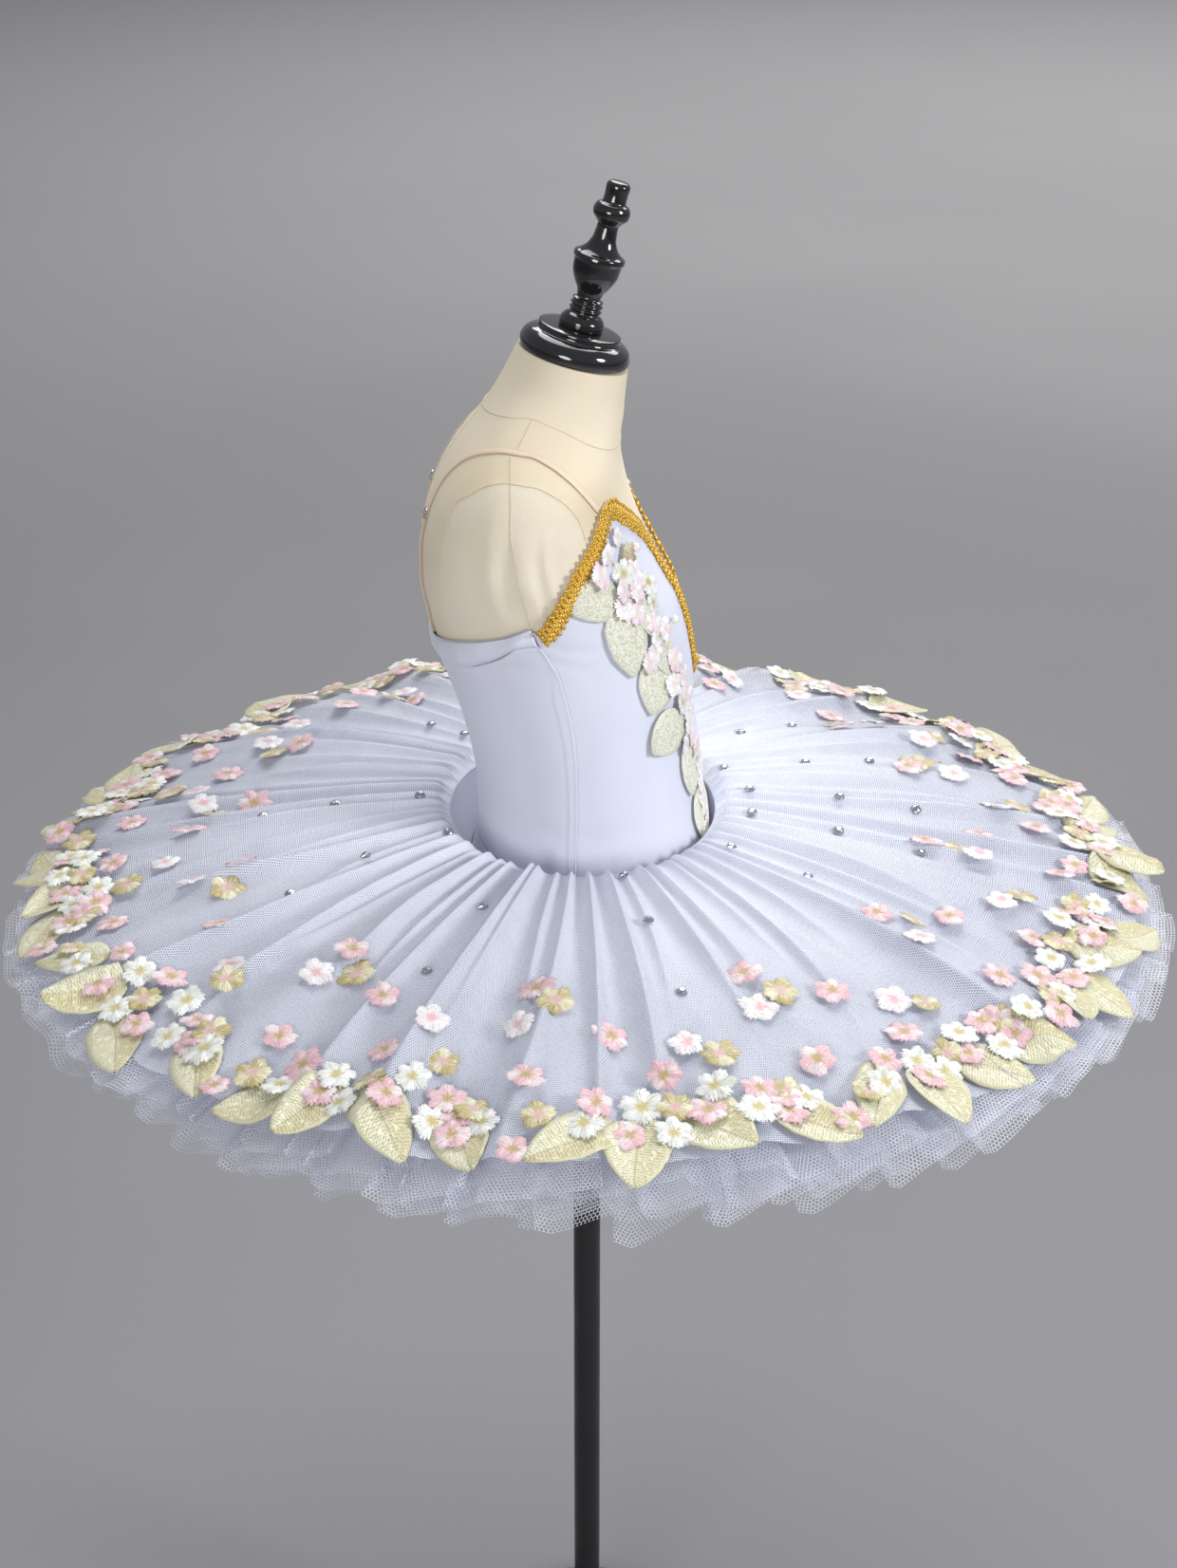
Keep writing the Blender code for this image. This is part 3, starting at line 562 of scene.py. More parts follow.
@dataclass(frozen=True)
class NetFinish:
    """Net with round-cornered six-sided holes. Where the tone is 1 the holes close up, as in tight gathers."""

    name: str
    pitch: float
    hole: float
    closed_hole: float
    colour: Colour
    translucent: float
    shaded: float

    def material(self) -> Material:
        """Holes on a staggered lattice in metres of cloth, in a thread that lets some light through; the holes darken
        what lies behind them, painted shade between the layers.
        """
        n = Nodes(self.name)
        cut, tone = n.cut(), n.tone()
        cell = (self.pitch, self.pitch * math.sqrt(3.0), 1.0)
        half = (cell[0] / 2, cell[1] / 2, 0.0)
        wobble = n.vector("SCALE", n.add("TexNoise", {"Vector": cut, "Scale": 60.0, "Detail": 1.0}).outputs[1])
        wobble.inputs["Scale"].default_value = self.pitch * 0.8
        spot = n.vector("ADD", cut, wobble.outputs[0]).outputs[0]
        holes = []
        for shift in ((0.0, 0.0, 0.0), half):
            moved = n.vector("ADD", spot, shift).outputs[0]
            wrapped = n.vector("WRAP", moved, (half[0], half[1], 1.0), (-half[0], -half[1], -1.0)).outputs[0]
            flat = n.vector("MULTIPLY", wrapped, (1.0, 1.0, 0.0)).outputs[0]
            holes.append(n.vector("LENGTH", flat).outputs["Value"])
        nearest = n.math("MINIMUM", *holes)
        radius = n.ramp(tone, 0.0, 1.0, self.pitch * self.hole, self.pitch * self.closed_hole)
        thread = n.ramp(n.math("SUBTRACT", nearest, radius), -0.06 * self.pitch, 0.06 * self.pitch)
        shade = n.noise(cut, 40.0, 2.0)
        colour = n.blend(n.ramp(shade, 0.3, 0.7), self.colour, tuple(0.93 * c for c in self.colour))
        front = n.add("BsdfPrincipled", {"Base Color": colour, "Roughness": 0.55, "Sheen Weight": 0.2})
        through = n.add("BsdfTranslucent", {"Color": colour})
        cloth = n.add("MixShader", {0: self.translucent, 1: front.outputs[0], 2: through.outputs[0]})
        # Painted shade: the holes pass only the shaded share of the light, standing in for shadow between the layers.
        painted_hole_shade = (0.985 * self.shaded, 0.99 * self.shaded, min(1.0, 1.02 * self.shaded))
        clear = n.add("BsdfTransparent", {"Color": painted_hole_shade})
        return n.finish(n.add("MixShader", {0: thread, 1: clear.outputs[0], 2: cloth.outputs[0]}).outputs[0])


@dataclass(frozen=True)
class LeafFinish:
    """Satin-stitched leaf: u runs across it and v along it, from 0 to 1."""

    name: str
    light: Colour = (0.7, 0.69, 0.505)
    gold: Colour = (0.57, 0.505, 0.265)
    edge: Colour = (0.72, 0.7, 0.5)
    # painted shade between the stitch rows and in the midrib's groove
    gap: Colour = (0.4, 0.345, 0.16)
    stitches: float = 27.0
    columns: float = 12.0
    depth: float = 0.8

    def material(self) -> Material:
        """Slanting stitches off the midrib, a lighter and a darker half, and a corded edge, with painted shade in the
        troughs between the stitch rows and along the midrib's groove.
        """
        n = Nodes(self.name)
        u, v = n.uv()
        off_rib = n.math("ABSOLUTE", n.math("SUBTRACT", u, 0.5))
        column = n.math("FLOOR", n.math("ADD", n.times(off_rib, self.columns), n.times(v, 0.8)))
        slant = n.math("SUBTRACT", n.times(v, self.stitches),
                       n.math("ADD", n.times(off_rib, 0.3 * self.stitches), n.times(column, 0.5)))
        place = n.joined(slant, n.times(off_rib, 11.0), n.times(n.tone(), 37.0))
        threads = n.add("TexNoise", {"Vector": place, "Scale": 0.9, "Detail": 2.0}).outputs[0]
        phase = n.times(n.math("ADD", slant, n.times(threads, 1.5)), math.tau)
        rows = n.ramp(n.math("SINE", phase), -1.0, -0.1)
        rows = n.math("MAXIMUM", rows, n.ramp(threads, 0.5, 0.62))
        edge_rows = n.ramp(n.math("SINE", n.times(v, 46.0 * math.tau)), -1.0, -0.2)
        half = n.ramp(n.math("ADD", u, n.times(n.math("SUBTRACT", threads, 0.5), 0.3)), 0.42, 0.6)
        body = n.blend(n.times(half, n.ramp(n.tone(), 0.0, 1.0, 0.3, 0.95)), self.light, self.gold)
        body = n.blend(n.ramp(threads, 0.56, 0.72, 0.0, 0.7), body, (0.86, 0.84, 0.69))
        rim = n.ramp(off_rib, 0.415, 0.44)
        cord = n.blend(edge_rows, self.gold, self.edge)
        # Painted shade: the gap colour fills the troughs between the rows of stitches.
        stitched = n.blend(rim, n.blend(rows, self.gap, body), cord)
        plain = n.blend(rim, body, self.edge)
        rib = n.ramp(off_rib, 0.026, 0.008)
        colour = n.blend(self.depth, plain, stitched)
        # Painted shade: the gap colour darkens the midrib's groove.
        colour = n.blend(n.times(rib, 0.28), colour, self.gap)
        height = n.math("ADD", n.blend(rim, rows, edge_rows), n.times(rib, -1.0))
        return n.finish(n.lit(height, 0.8, 0.0006, {"Base Color": colour, "Roughness": 0.45, "Sheen Weight": 0.2}))


@dataclass(frozen=True)
class PetalFinish:
    """Satin-stitched flower with frayed ends: u runs round it and v from its centre to its edge."""

    name: str
    light: Colour
    deep: Colour
    centre: Colour
    strands: float = 56.0

    def material(self) -> Material:
        """Two-tone petals by their tone, in radial threads with painted shade between them, round a stitched centre.
        """
        n = Nodes(self.name)
        u, v = n.uv()
        sewn = n.times(n.add("Attribute", attribute_name="sewn").outputs["Fac"], 91.0)
        place = n.joined(n.times(u, self.strands), n.times(v, 1.6), sewn)
        threads = n.add("TexNoise", {"Vector": place, "Scale": 1.5, "Detail": 1.0}).outputs[0]
        broad = n.joined(n.times(u, 6.0), v, sewn)
        patches = n.add("TexNoise", {"Vector": broad, "Scale": 1.0, "Detail": 1.0}).outputs[0]
        tone = n.math("ADD", n.tone(), n.times(n.math("SUBTRACT", patches, 0.5), 1.1))
        share = n.ramp(n.math("ADD", tone, n.times(n.math("SUBTRACT", threads, 0.5), 0.8)), 0.25, 0.75)
        petals = n.blend(share, self.light, self.deep)
        # Painted shade between the threads: a darker copy of the deep colour.
        petals = n.blend(n.ramp(threads, 0.44, 0.3, 0.0, 0.75), petals, tuple(0.62 * c for c in self.deep))
        petals = n.blend(n.ramp(threads, 0.54, 0.7, 0.0, 0.75), petals, (0.83, 0.81, 0.8))
        middle = n.ramp(n.math("ADD", v, n.times(n.math("SUBTRACT", threads, 0.5), 0.9)), 0.35, 0.25)
        colour = n.blend(middle, petals, self.centre)
        shader = n.lit(threads, 0.8, 0.0006, {"Base Color": colour, "Roughness": 0.42, "Sheen Weight": 0.25})
        fray = n.math("ADD", v, n.times(n.math("SUBTRACT", threads, 0.5), 0.75))
        kept = n.ramp(fray, 0.97, 0.93)
        clear = n.add("BsdfTransparent").outputs[0]
        return n.finish(n.add("MixShader", {0: kept, 1: clear, 2: shader}).outputs[0])


@dataclass(frozen=True)
class SprayLeafFinish:
    """Glittering leaf of short, crossing stitches in pale green and cream."""

    name: str
    light: Colour = (0.87, 0.87, 0.77)
    green: Colour = (0.61, 0.615, 0.43)
    deep: Colour = (0.36, 0.36, 0.22)

    def material(self) -> Material:
        """Speckle of short stitches with near-white flecks of painted glint, and a brighter corded edge."""
        n = Nodes(self.name)
        u, v = n.uv()
        off_rib = n.math("ABSOLUTE", n.math("SUBTRACT", u, 0.5))
        place = n.joined(n.times(u, 31.0), n.times(v, 44.0), n.tone())
        cells = n.add("TexVoronoi", {"Vector": place, "Scale": 1.0}, feature="F1")
        speck = n.add("SeparateColor", {0: cells.outputs["Color"]}).outputs[0]
        fine = n.add("TexNoise", {"Vector": place, "Scale": 1.9, "Detail": 2.0}).outputs[0]
        colour = n.blend(n.ramp(speck, 0.25, 0.75), self.green, self.light)
        colour = n.blend(n.ramp(fine, 0.44, 0.34, 0.0, 0.8), colour, self.deep)
        # Painted glints: near-white flecks stand in for the glitter's sparkle.
        colour = n.blend(n.ramp(fine, 0.55, 0.66, 0.0, 0.8), colour, (0.97, 0.97, 0.92))
        rim = n.ramp(off_rib, 0.41, 0.45, 0.0, 0.55)
        colour = n.blend(rim, colour, self.light)
        roughness = n.ramp(speck, 0.0, 1.0, 0.25, 0.6)
        return n.finish(n.lit(fine, 0.8, 0.0008, {"Base Color": colour, "Roughness": roughness}))


@dataclass(frozen=True)
class TwistFinish:
    """Twisted cord or ribbed elastic: u runs round it and v along it."""

    name: str
    light: Colour
    deep: Colour
    pitch: float
    roughness: float = 0.4
    metallic: float = 0.0
    slant: float = 1.0

    def material(self) -> Material:
        """Slanting plies, with painted shade where they meet."""
        n = Nodes(self.name)
        u, v = n.uv()
        along = n.math("DIVIDE", v, self.pitch)
        phase = n.times(n.math("ADD", along, n.times(u, self.slant)), math.tau)
        plies = n.ramp(n.math("SINE", phase), -1.0, 1.0)
        speckle = n.noise(n.place(), 1500.0, 2.0)
        # Painted shade: the deep colour fills the grooves between the plies.
        colour = n.blend(n.ramp(n.math("ADD", plies, n.times(speckle, 0.5)), 0.25, 1.05), self.deep, self.light)
        height = n.math("ADD", plies, n.times(speckle, 0.4))
        return n.finish(n.lit(height, 0.7, 0.0004, {"Base Color": colour, "Roughness": self.roughness,
                                                    "Metallic": self.metallic}))


@dataclass(frozen=True)
class HardFinish:
    """Lacquer, enamel, metal, glass or plaster with fine wear in its gloss."""

    name: str
    colour: Colour
    roughness: float
    metallic: float = 0.0
    coat: float = 0.0
    grain: float = 30.0
    orange_peel: float = 0.0
    wear: float = 0.75

    def material(self) -> Material:
        """Even colour with a little cloud in it and in the gloss."""
        n = Nodes(self.name)
        clouds = n.noise(n.place(), self.grain, 4.0)
        colour = n.blend(n.ramp(clouds, 0.35, 0.75), self.colour, tuple(self.wear * c for c in self.colour))
        roughness = n.ramp(clouds, 0.3, 0.8, self.roughness * 0.8, self.roughness * 1.4)
        return n.finish(n.lit(n.noise(n.place(), 400.0, 1.0), self.orange_peel, 0.0002, {
            "Base Color": colour, "Roughness": roughness, "Metallic": self.metallic, "Coat Weight": self.coat,
            "Coat Roughness": 0.06}))


class Finishes:
    """Every finish of the costume and its stand, made once."""

    def __init__(self) -> None:
        """Makes the materials."""
        self.linen = WovenFinish("cream_linen").material()
        self.seam = TwistFinish("linen_seam", (0.76, 0.65, 0.46), (0.58, 0.47, 0.3), 0.0022, 0.8).material()
        self.spandex = StretchFinish("white_spandex").material()
        self.white_thread = TwistFinish("white_thread", (0.88, 0.89, 0.94), (0.74, 0.75, 0.83), 0.0009).material()
        # The nets' last number darkens light through their holes: painted shade between the layers.
        self.tulle = NetFinish("fine_tulle", 0.0019, 0.355, 0.18, (0.855, 0.885, 0.985), 0.18, 0.74).material()
        self.net = NetFinish("stiff_net", 0.0028, 0.447, 0.3, (0.9, 0.91, 0.955), 0.25, 0.97).material()
        self.leaf = LeafFinish("leaf_satin_stitch").material()
        self.bead_leaf = SprayLeafFinish("bodice_leaf_stitch").material()
        self.rose = PetalFinish("rose_petals", (0.72, 0.61, 0.625), (0.66, 0.395, 0.435),
                                (0.46, 0.32, 0.13)).material()
        # The daisy's greenish-grey deep colour is painted shade on its white petals.
        self.daisy = PetalFinish("daisy_petals", (0.74, 0.755, 0.725), (0.52, 0.55, 0.46),
                                 (0.53, 0.45, 0.18)).material()
        self.blush = PetalFinish("blush_petals", (0.74, 0.725, 0.73), (0.64, 0.53, 0.56),
                                 (0.72, 0.42, 0.45)).material()
        self.gold = PetalFinish("gold_petals", (0.65, 0.615, 0.41), (0.42, 0.345, 0.125),
                                (0.62, 0.39, 0.36)).material()
        self.lace = PetalFinish("lace_petals", (0.84, 0.82, 0.83), (0.78, 0.6, 0.65), (0.74, 0.68, 0.6),
                                strands=26.0).material()
        self.gimp = TwistFinish("gold_gimp", (0.92, 0.6, 0.09), (0.34, 0.15, 0.01), 0.0016, 0.36, 0.4).material()
        self.elastic = TwistFinish("nude_elastic", (0.88, 0.73, 0.57), (0.8, 0.61, 0.46), 0.001, 0.6,
                                   slant=0.0).material()
        self.lacquer = HardFinish("black_lacquer", (0.012, 0.012, 0.013), 0.1, coat=0.6).material()
        self.enamel = HardFinish("black_enamel", (0.014, 0.014, 0.015), 0.32, orange_peel=0.12).material()
        self.nickel = HardFinish("nickel", (0.72, 0.72, 0.73), 0.22, metallic=1.0).material()
        self.crystal = HardFinish("foiled_glass", (0.46, 0.48, 0.52), 0.16, metallic=0.8, coat=0.6).material()
        self.pearl = HardFinish("pearl", (0.86, 0.82, 0.78), 0.2, coat=0.7).material()
        self.floor = HardFinish("pale_floor", (0.225, 0.227, 0.24), 0.85, grain=0.4, wear=0.97).material()


# ---------------- repeated motifs
@dataclass(frozen=True)
class Spot:
    """Where one motif is sewn: its place, its up direction, the way it faces, and its size."""

    place: Array
    normal: Array
    ahead: Array
    size: float


class MotifScatter(Tree):
    """Geometry Nodes tree that sews one motif on every spot."""

    def __init__(self) -> None:
        """Builds the tree: instances turned by the spots, realized, in one finish."""
        super().__init__(bpy.data.node_groups.new("sew_motifs", "GeometryNodeTree"))
        ends = self.tree.interface
        self.inputs = {name: ends.new_socket(name, in_out="INPUT", socket_type=f"NodeSocket{kind}").identifier
                       for name, kind in (("Spots", "Geometry"), ("Motif", "Object"), ("Motif Size", "Float"),
                                          ("Size Spread", "Float"), ("Seed", "Int"), ("Finish", "Material"))}
        ends.new_socket("Motifs", in_out="OUTPUT", socket_type="NodeSocketGeometry")
        given = self.add("NodeGroupInput").outputs
        motif = self.add("GeometryNodeObjectInfo", {"Object": given["Motif"]})
        low = self.maths("SUBTRACT", 1.0, given["Size Spread"])
        high = self.maths("ADD", 1.0, given["Size Spread"])
        spread = self.add("FunctionNodeRandomValue", {2: low, 3: high, "Seed": given["Seed"]}, data_type="FLOAT")
        size = self.maths("MULTIPLY", self.carried("size", "FLOAT"), given["Motif Size"])
        turning = self.add("FunctionNodeEulerToRotation", {0: self.carried("turning", "FLOAT_VECTOR")})
        instances = self.add("GeometryNodeInstanceOnPoints", {
            "Points": given["Spots"], "Instance": motif.outputs["Geometry"], "Rotation": turning.outputs[0],
            "Scale": self.maths("MULTIPLY", size, spread.outputs[1])})
        realized = self.add("GeometryNodeRealizeInstances", {0: instances.outputs[0]})
        dressed = self.add("GeometryNodeSetMaterial", {"Geometry": realized.outputs[0], "Material": given["Finish"]})
        self.add("NodeGroupOutput", {0: dressed.outputs[0]})

    def maths(self, operation: str, *values: object) -> Socket:
        """Result of a maths node."""
        return self.add("ShaderNodeMath", dict(enumerate(values)), operation=operation).outputs[0]

    def carried(self, name: str, kind: str) -> Socket:
        """Value that the spots carry."""
        node = self.add("GeometryNodeInputNamedAttribute", {"Name": name}, data_type=kind)
        return node.outputs["Attribute"]

    def sew(self, name: str, spots: list[Spot], motif: Shell, material: Material, size: float = 1.0,
            spread: float = 0.0, seed: int = 1, smooth: bool = True) -> Piece:
        """Piece with one motif on each spot.

        Args:
            name: the piece's name.
            spots: where the motifs go.
            motif: one motif about the origin, up along +Z and facing +Y.
            material: finish of them all.
            size: scale of the motif.
            spread: random share by which sizes differ.
            seed: seed of those differences.
            smooth: soft shading, or facets.

        Returns:
            A plain mesh object.
        """
        pattern = mesh_object(f"{name}_motif", motif, material, smooth)
        mesh = bpy.data.meshes.new(name)
        mesh.from_pydata([spot.place.tolist() for spot in spots], [], [])
        turns, sizes = [], []
        for spot in spots:
            up = Vector(spot.normal).normalized()
            side = Vector(spot.ahead).cross(up).normalized()
            basis = Matrix((side, up.cross(side), up)).transposed()
            turns += list(basis.to_euler("XYZ"))
            sizes.append(spot.size)
        mesh.attributes.new("turning", "FLOAT_VECTOR", "POINT").data.foreach_set("vector", turns)
        mesh.attributes.new("size", "FLOAT", "POINT").data.foreach_set("value", sizes)
        mesh.attributes.new("sewn", "FLOAT", "POINT").data.foreach_set(
            "value", np.random.default_rng(seed).random(len(spots)))
        piece = bpy.data.objects.new(name, mesh)
        bpy.context.scene.collection.objects.link(piece)
        sewing = piece.modifiers.new("sewing", "NODES")
        sewing.node_group = self.tree
        for key, value in (("Motif", pattern), ("Motif Size", size), ("Size Spread", spread), ("Seed", seed),
                           ("Finish", material)):
            sewing[self.inputs[key]] = value
        bake_modifiers(piece)
        bpy.data.objects.remove(pattern, do_unlink=True)
        return piece


# ---------------- dress form and stand
class Side(Enum):
    """The figure's own left and right."""

    LEFT = 1
    RIGHT = -1

    @property
    def ending(self) -> str:
        """Lower-case name for the ends of piece names."""
        return self.name.lower()


@dataclass
class SubAssembly:
    """Part of the costume, its stand or the studio, with the finishes and the sewing tree that it uses."""

    finishes: Finishes
    scatter: MotifScatter

    def flower(self, kind: "Bloom", variant: int) -> tuple[Shell, Material]:
        """Motif and finish of a kind of flower."""
        seed = 100 + 10 * list(Bloom).index(kind) + variant
        return bloom_motif(kind.value[variant], seed), getattr(self.finishes, kind.name.lower())


def fan_shell(ring: Array, downward: bool) -> Shell:
    """Covers a ring of points.

    Args:
        ring: points, 3.
        downward: the cover faces down.

    Returns:
        The cover's shell.
    """
    count = len(ring)
    faces = [(i, (i + 1) % count, count) for i in range(count)]
    if downward:
        faces = [tuple(reversed(face)) for face in faces]
    points = np.concatenate((ring, ring.mean(axis=0)[None]))
    spots = np.concatenate([points[list(face)][:, :2] for face in faces])
    return Shell(points, faces, spots, np.zeros(count + 1))


# Seam over the arm, from the back to the front: degrees from the front, and height.
ARM_SEAM = ((129.3, 0.271), (119.5, 0.2785), (105.7, 0.2818), (91.9, 0.2812), (76.2, 0.275), (64.2, 0.2645),
            (57.9, 0.2534), (55.4, 0.24))


@dataclass
class DressForm(SubAssembly):
    """Limbless padded torso with its seams, neck cap and turned finial."""

    columns: int = 160
    rows: int = 110
    cloth_radius: float = 0.11
    seam_radius: float = 0.00032
    drape: float = 0.0019
    cap_profile: tuple = (
        (0.0003, 0.0375), (0.002, 0.0396), (0.006, 0.0405), (0.011, 0.039), (0.015, 0.0345),
        (0.0162, 0.0309), (0.0176, 0.0302), (0.0196, 0.0302), (0.0205, 0.03), (0.0212, 0.025))
    finial_profile: tuple = (
        (0.0215, 0.016), (0.026, 0.0162), (0.03, 0.014), (0.033, 0.0105), (0.035, 0.0118),
        (0.0368, 0.0103), (0.0386, 0.0118), (0.0404, 0.0103), (0.042, 0.0112), (0.0435, 0.0086),
        (0.048, 0.0096), (0.054, 0.0132), (0.062, 0.0166), (0.0705, 0.0174), (0.072, 0.0186),
        (0.0746, 0.0184), (0.0765, 0.0155), (0.081, 0.011), (0.088, 0.0083), (0.0965, 0.0076),
        (0.0995, 0.0098), (0.103, 0.0128), (0.1065, 0.0133), (0.1105, 0.0118), (0.113, 0.0084),
        (0.118, 0.0082), (0.1245, 0.0086), (0.1272, 0.0066))
    # Seams of one side: degrees from the front, and height.
    seams: tuple = (
        ((110.0, 0.311), (110.6, 0.2985), (114.0, 0.2937)),
        ((112.9, 0.2927), (105.2, 0.2818), (98.4, 0.265), (96.3, 0.251), (93.1, 0.226), (92.7, 0.198),
         (93.3, 0.186)),
        ((134.2, 0.246), (137.8, 0.2545), (137.3, 0.263), *ARM_SEAM),
        ((180.0, 0.304), (150.0, 0.306), (125.0, 0.309), (110.0, 0.311), (85.0, 0.308), (55.0, 0.3),
         (25.0, 0.292), (0.0, 0.289)))
    back_seam: tuple = ((180.0, 0.344), (180.0, 0.304), (180.0, 0.22), (180.0, 0.15))
    jersey_arc: tuple = ((52.0, 0.225), *reversed(ARM_SEAM), (137.3, 0.259), (140.0, 0.235))
    jersey_front: tuple = (52, 57)
    jersey_back: tuple = (135, 140)
    jersey_edge: float = 0.0012
    # Soft folds of the jersey below the arm seam: degrees, height, width in degrees, depth as a share.
    folds: tuple = ((90.0, 0.214, 2.6, 1.0), (84.0, 0.224, 2.2, -0.9), (79.0, 0.219, 2.4, 0.8),
                    (73.5, 0.227, 2.8, -0.7), (98.5, 0.218, 3.4, -0.8), (106.0, 0.226, 4.0, 0.6),
                    (116.0, 0.221, 5.0, -0.4))

    def jersey(self, height: Array, degrees: Array) -> Array:
        """Marks the arm's jersey.

        Args:
            height: above the waist.
            degrees: round the figure.

        Returns:
            1 on the jersey and 0 on the linen.
        """
        away = np.abs((degrees + 180) % FULL_TURN - 180)
        arc = Curve(*zip(*self.jersey_arc)).at(away)
        sides = smooth_step(*self.jersey_front, away) * (1 - smooth_step(*self.jersey_back, away))
        return sides * smooth_step(-self.jersey_edge, self.jersey_edge, arc - height)

    def drapes(self, height: Array, degrees: Array) -> Array:
        """Shapes the jersey's soft folds, uneven from one side to the other.

        Args:
            height: above the waist.
            degrees: round the figure.

        Returns:
            Height of the folds above the form.
        """
        away = np.abs((degrees + 180) % FULL_TURN - 180)
        left = degrees % FULL_TURN < 180
        lift = np.zeros_like(away)
        for place, middle, width, depth in self.folds:
            centre = place + np.where(left, 1.4, 0.0) + (height - middle) * 60 * depth
            along = hump(height - middle - np.where(left, 0.006, 0.0), 0.03)
            lift = lift + depth * self.drape * along * hump(away - centre, width)
        return lift * smooth_step(0.186, 0.196, height)

    def build(self) -> None:
        """Builds and dresses the form."""
        lower, upper = FORM_SECTIONS[0].height, FORM_SECTIONS[-1].height
        heights = np.linspace(lower, upper, self.rows)[:, None]
        degrees = np.linspace(0.0, FULL_TURN, self.columns, endpoint=False)[None, :]
        jersey = self.jersey(heights, degrees)
        points = FIGURE.point(heights, degrees, self.drapes(*np.broadcast_arrays(heights, degrees)))
        across = np.linspace(0.0, math.tau * self.cloth_radius, self.columns + 1)
        uv = grid_uv(across, heights)
        torso = join_shells([grid_shell(points, uv, closed=True, tone=jersey),
                             fan_shell(points[0], downward=True),
                             fan_shell(points[-1], downward=False)])
        fit(mesh_object("linen_torso", torso, self.finishes.linen), "linen", "form_torso")
        self.build_seams()
        self.build_neck()

    def build_seams(self) -> None:
        """Stitched seams on the form, both sides and down the middle of the back."""
        paths = [[(side.value * degrees, height) for degrees, height in seam]
                 for seam in self.seams for side in Side] + [self.back_seam]
        shells = []
        for path in paths:
            key = np.arange(len(path), dtype=float)
            fine = np.linspace(0, len(path) - 1, 24 * (len(path) - 1) + 1)
            degrees, height = (Curve(key, values).at(fine) for values in zip(*path))
            place, normal, _, _ = FIGURE.axes(height, degrees, self.drapes(height, degrees))
            shells.append(tube_shell(place + normal * 0.0001, self.seam_radius, 5, normals=normal))
        fit(mesh_object("form_seams", join_shells(shells), self.finishes.seam), "linen")

    def build_neck(self) -> None:
        """Neck cap and finial, turned about the neck's tilted axis."""
        axis = Matrix.Translation((0.0, -NECK_MIDDLE, WAIST_HEIGHT + NECK_TOP)) @ Matrix.Rotation(FINIAL_TILT, 4, "X")
        for name, profile, node, sides in (("turned_neck_cap", self.cap_profile, "neck_cap", 72),
                                           ("turned_finial", self.finial_profile, "finial", 48)):
            along, radii = zip(*profile)
            curve = Curve(along, radii)
            fine = np.concatenate([np.linspace(low, high, 5)[:-1] for low, high in zip(along, along[1:])]
                                  + [along[-1:]])
            shell = turned_shell(list(zip(fine.tolist(), curve.at(fine).tolist())), axis, sides)
            fit(mesh_object(name, shell, self.finishes.lacquer), "black_lacquer", node)


@dataclass
class Stand(SubAssembly):
    """Round weighted base, collar, pole and flange."""

    pole_radius: float = 0.011
    base_radius: float = 0.14
    base_thickness: float = 0.012
    collar_radius: float = 0.019
    collar_height: float = 0.03
    flange_radius: float = 0.036
    flange_thickness: float = 0.006
    gap: float = 0.0003

    def rounded(self, bottom: float, top: float, radius: float, edge: float) -> list[tuple[float, float]]:
        """Draws the profile of a disc or rod with rounded edges.

        Args:
            bottom: height of its underside.
            top: height of its top.
            radius: half its width.
            edge: radius of its edges.

        Returns:
            Heights and radii, bottom to top.
        """
        arc = [math.radians(angle) for angle in range(0, 91, 15)]
        lower = [(bottom + edge * (1 - math.cos(a)), radius - edge * (1 - math.sin(a))) for a in arc]
        upper = [(top - edge * (1 - math.sin(a)), radius - edge * (1 - math.cos(a))) for a in arc]
        return lower + upper

    def build(self) -> None:
        """Builds and dresses the stand."""
        seat = WAIST_HEIGHT + FORM_SECTIONS[0].height
        flange_top = seat - self.gap
        flange_bottom = flange_top - self.flange_thickness
        collar_top = self.base_thickness + self.gap + self.collar_height
        pieces = (
            ("round_base", self.rounded(0.0, self.base_thickness, self.base_radius, 0.003), "stand_base", 128),
            ("pole_collar", self.rounded(self.base_thickness + self.gap, collar_top, self.collar_radius, 0.002),
             "stand_collar", 64),
            ("pole", self.rounded(collar_top + self.gap, flange_bottom - self.gap, self.pole_radius, 0.0004),
             "stand_pole", 48),
            ("pole_flange", self.rounded(flange_bottom, flange_top, self.flange_radius, 0.0015),
             "stand_flange", 64))
        for name, profile, node, sides in pieces:
            shell = turned_shell(profile, Matrix.Identity(4), sides)
            fit(mesh_object(name, shell, self.finishes.enamel), "black_steel", node)


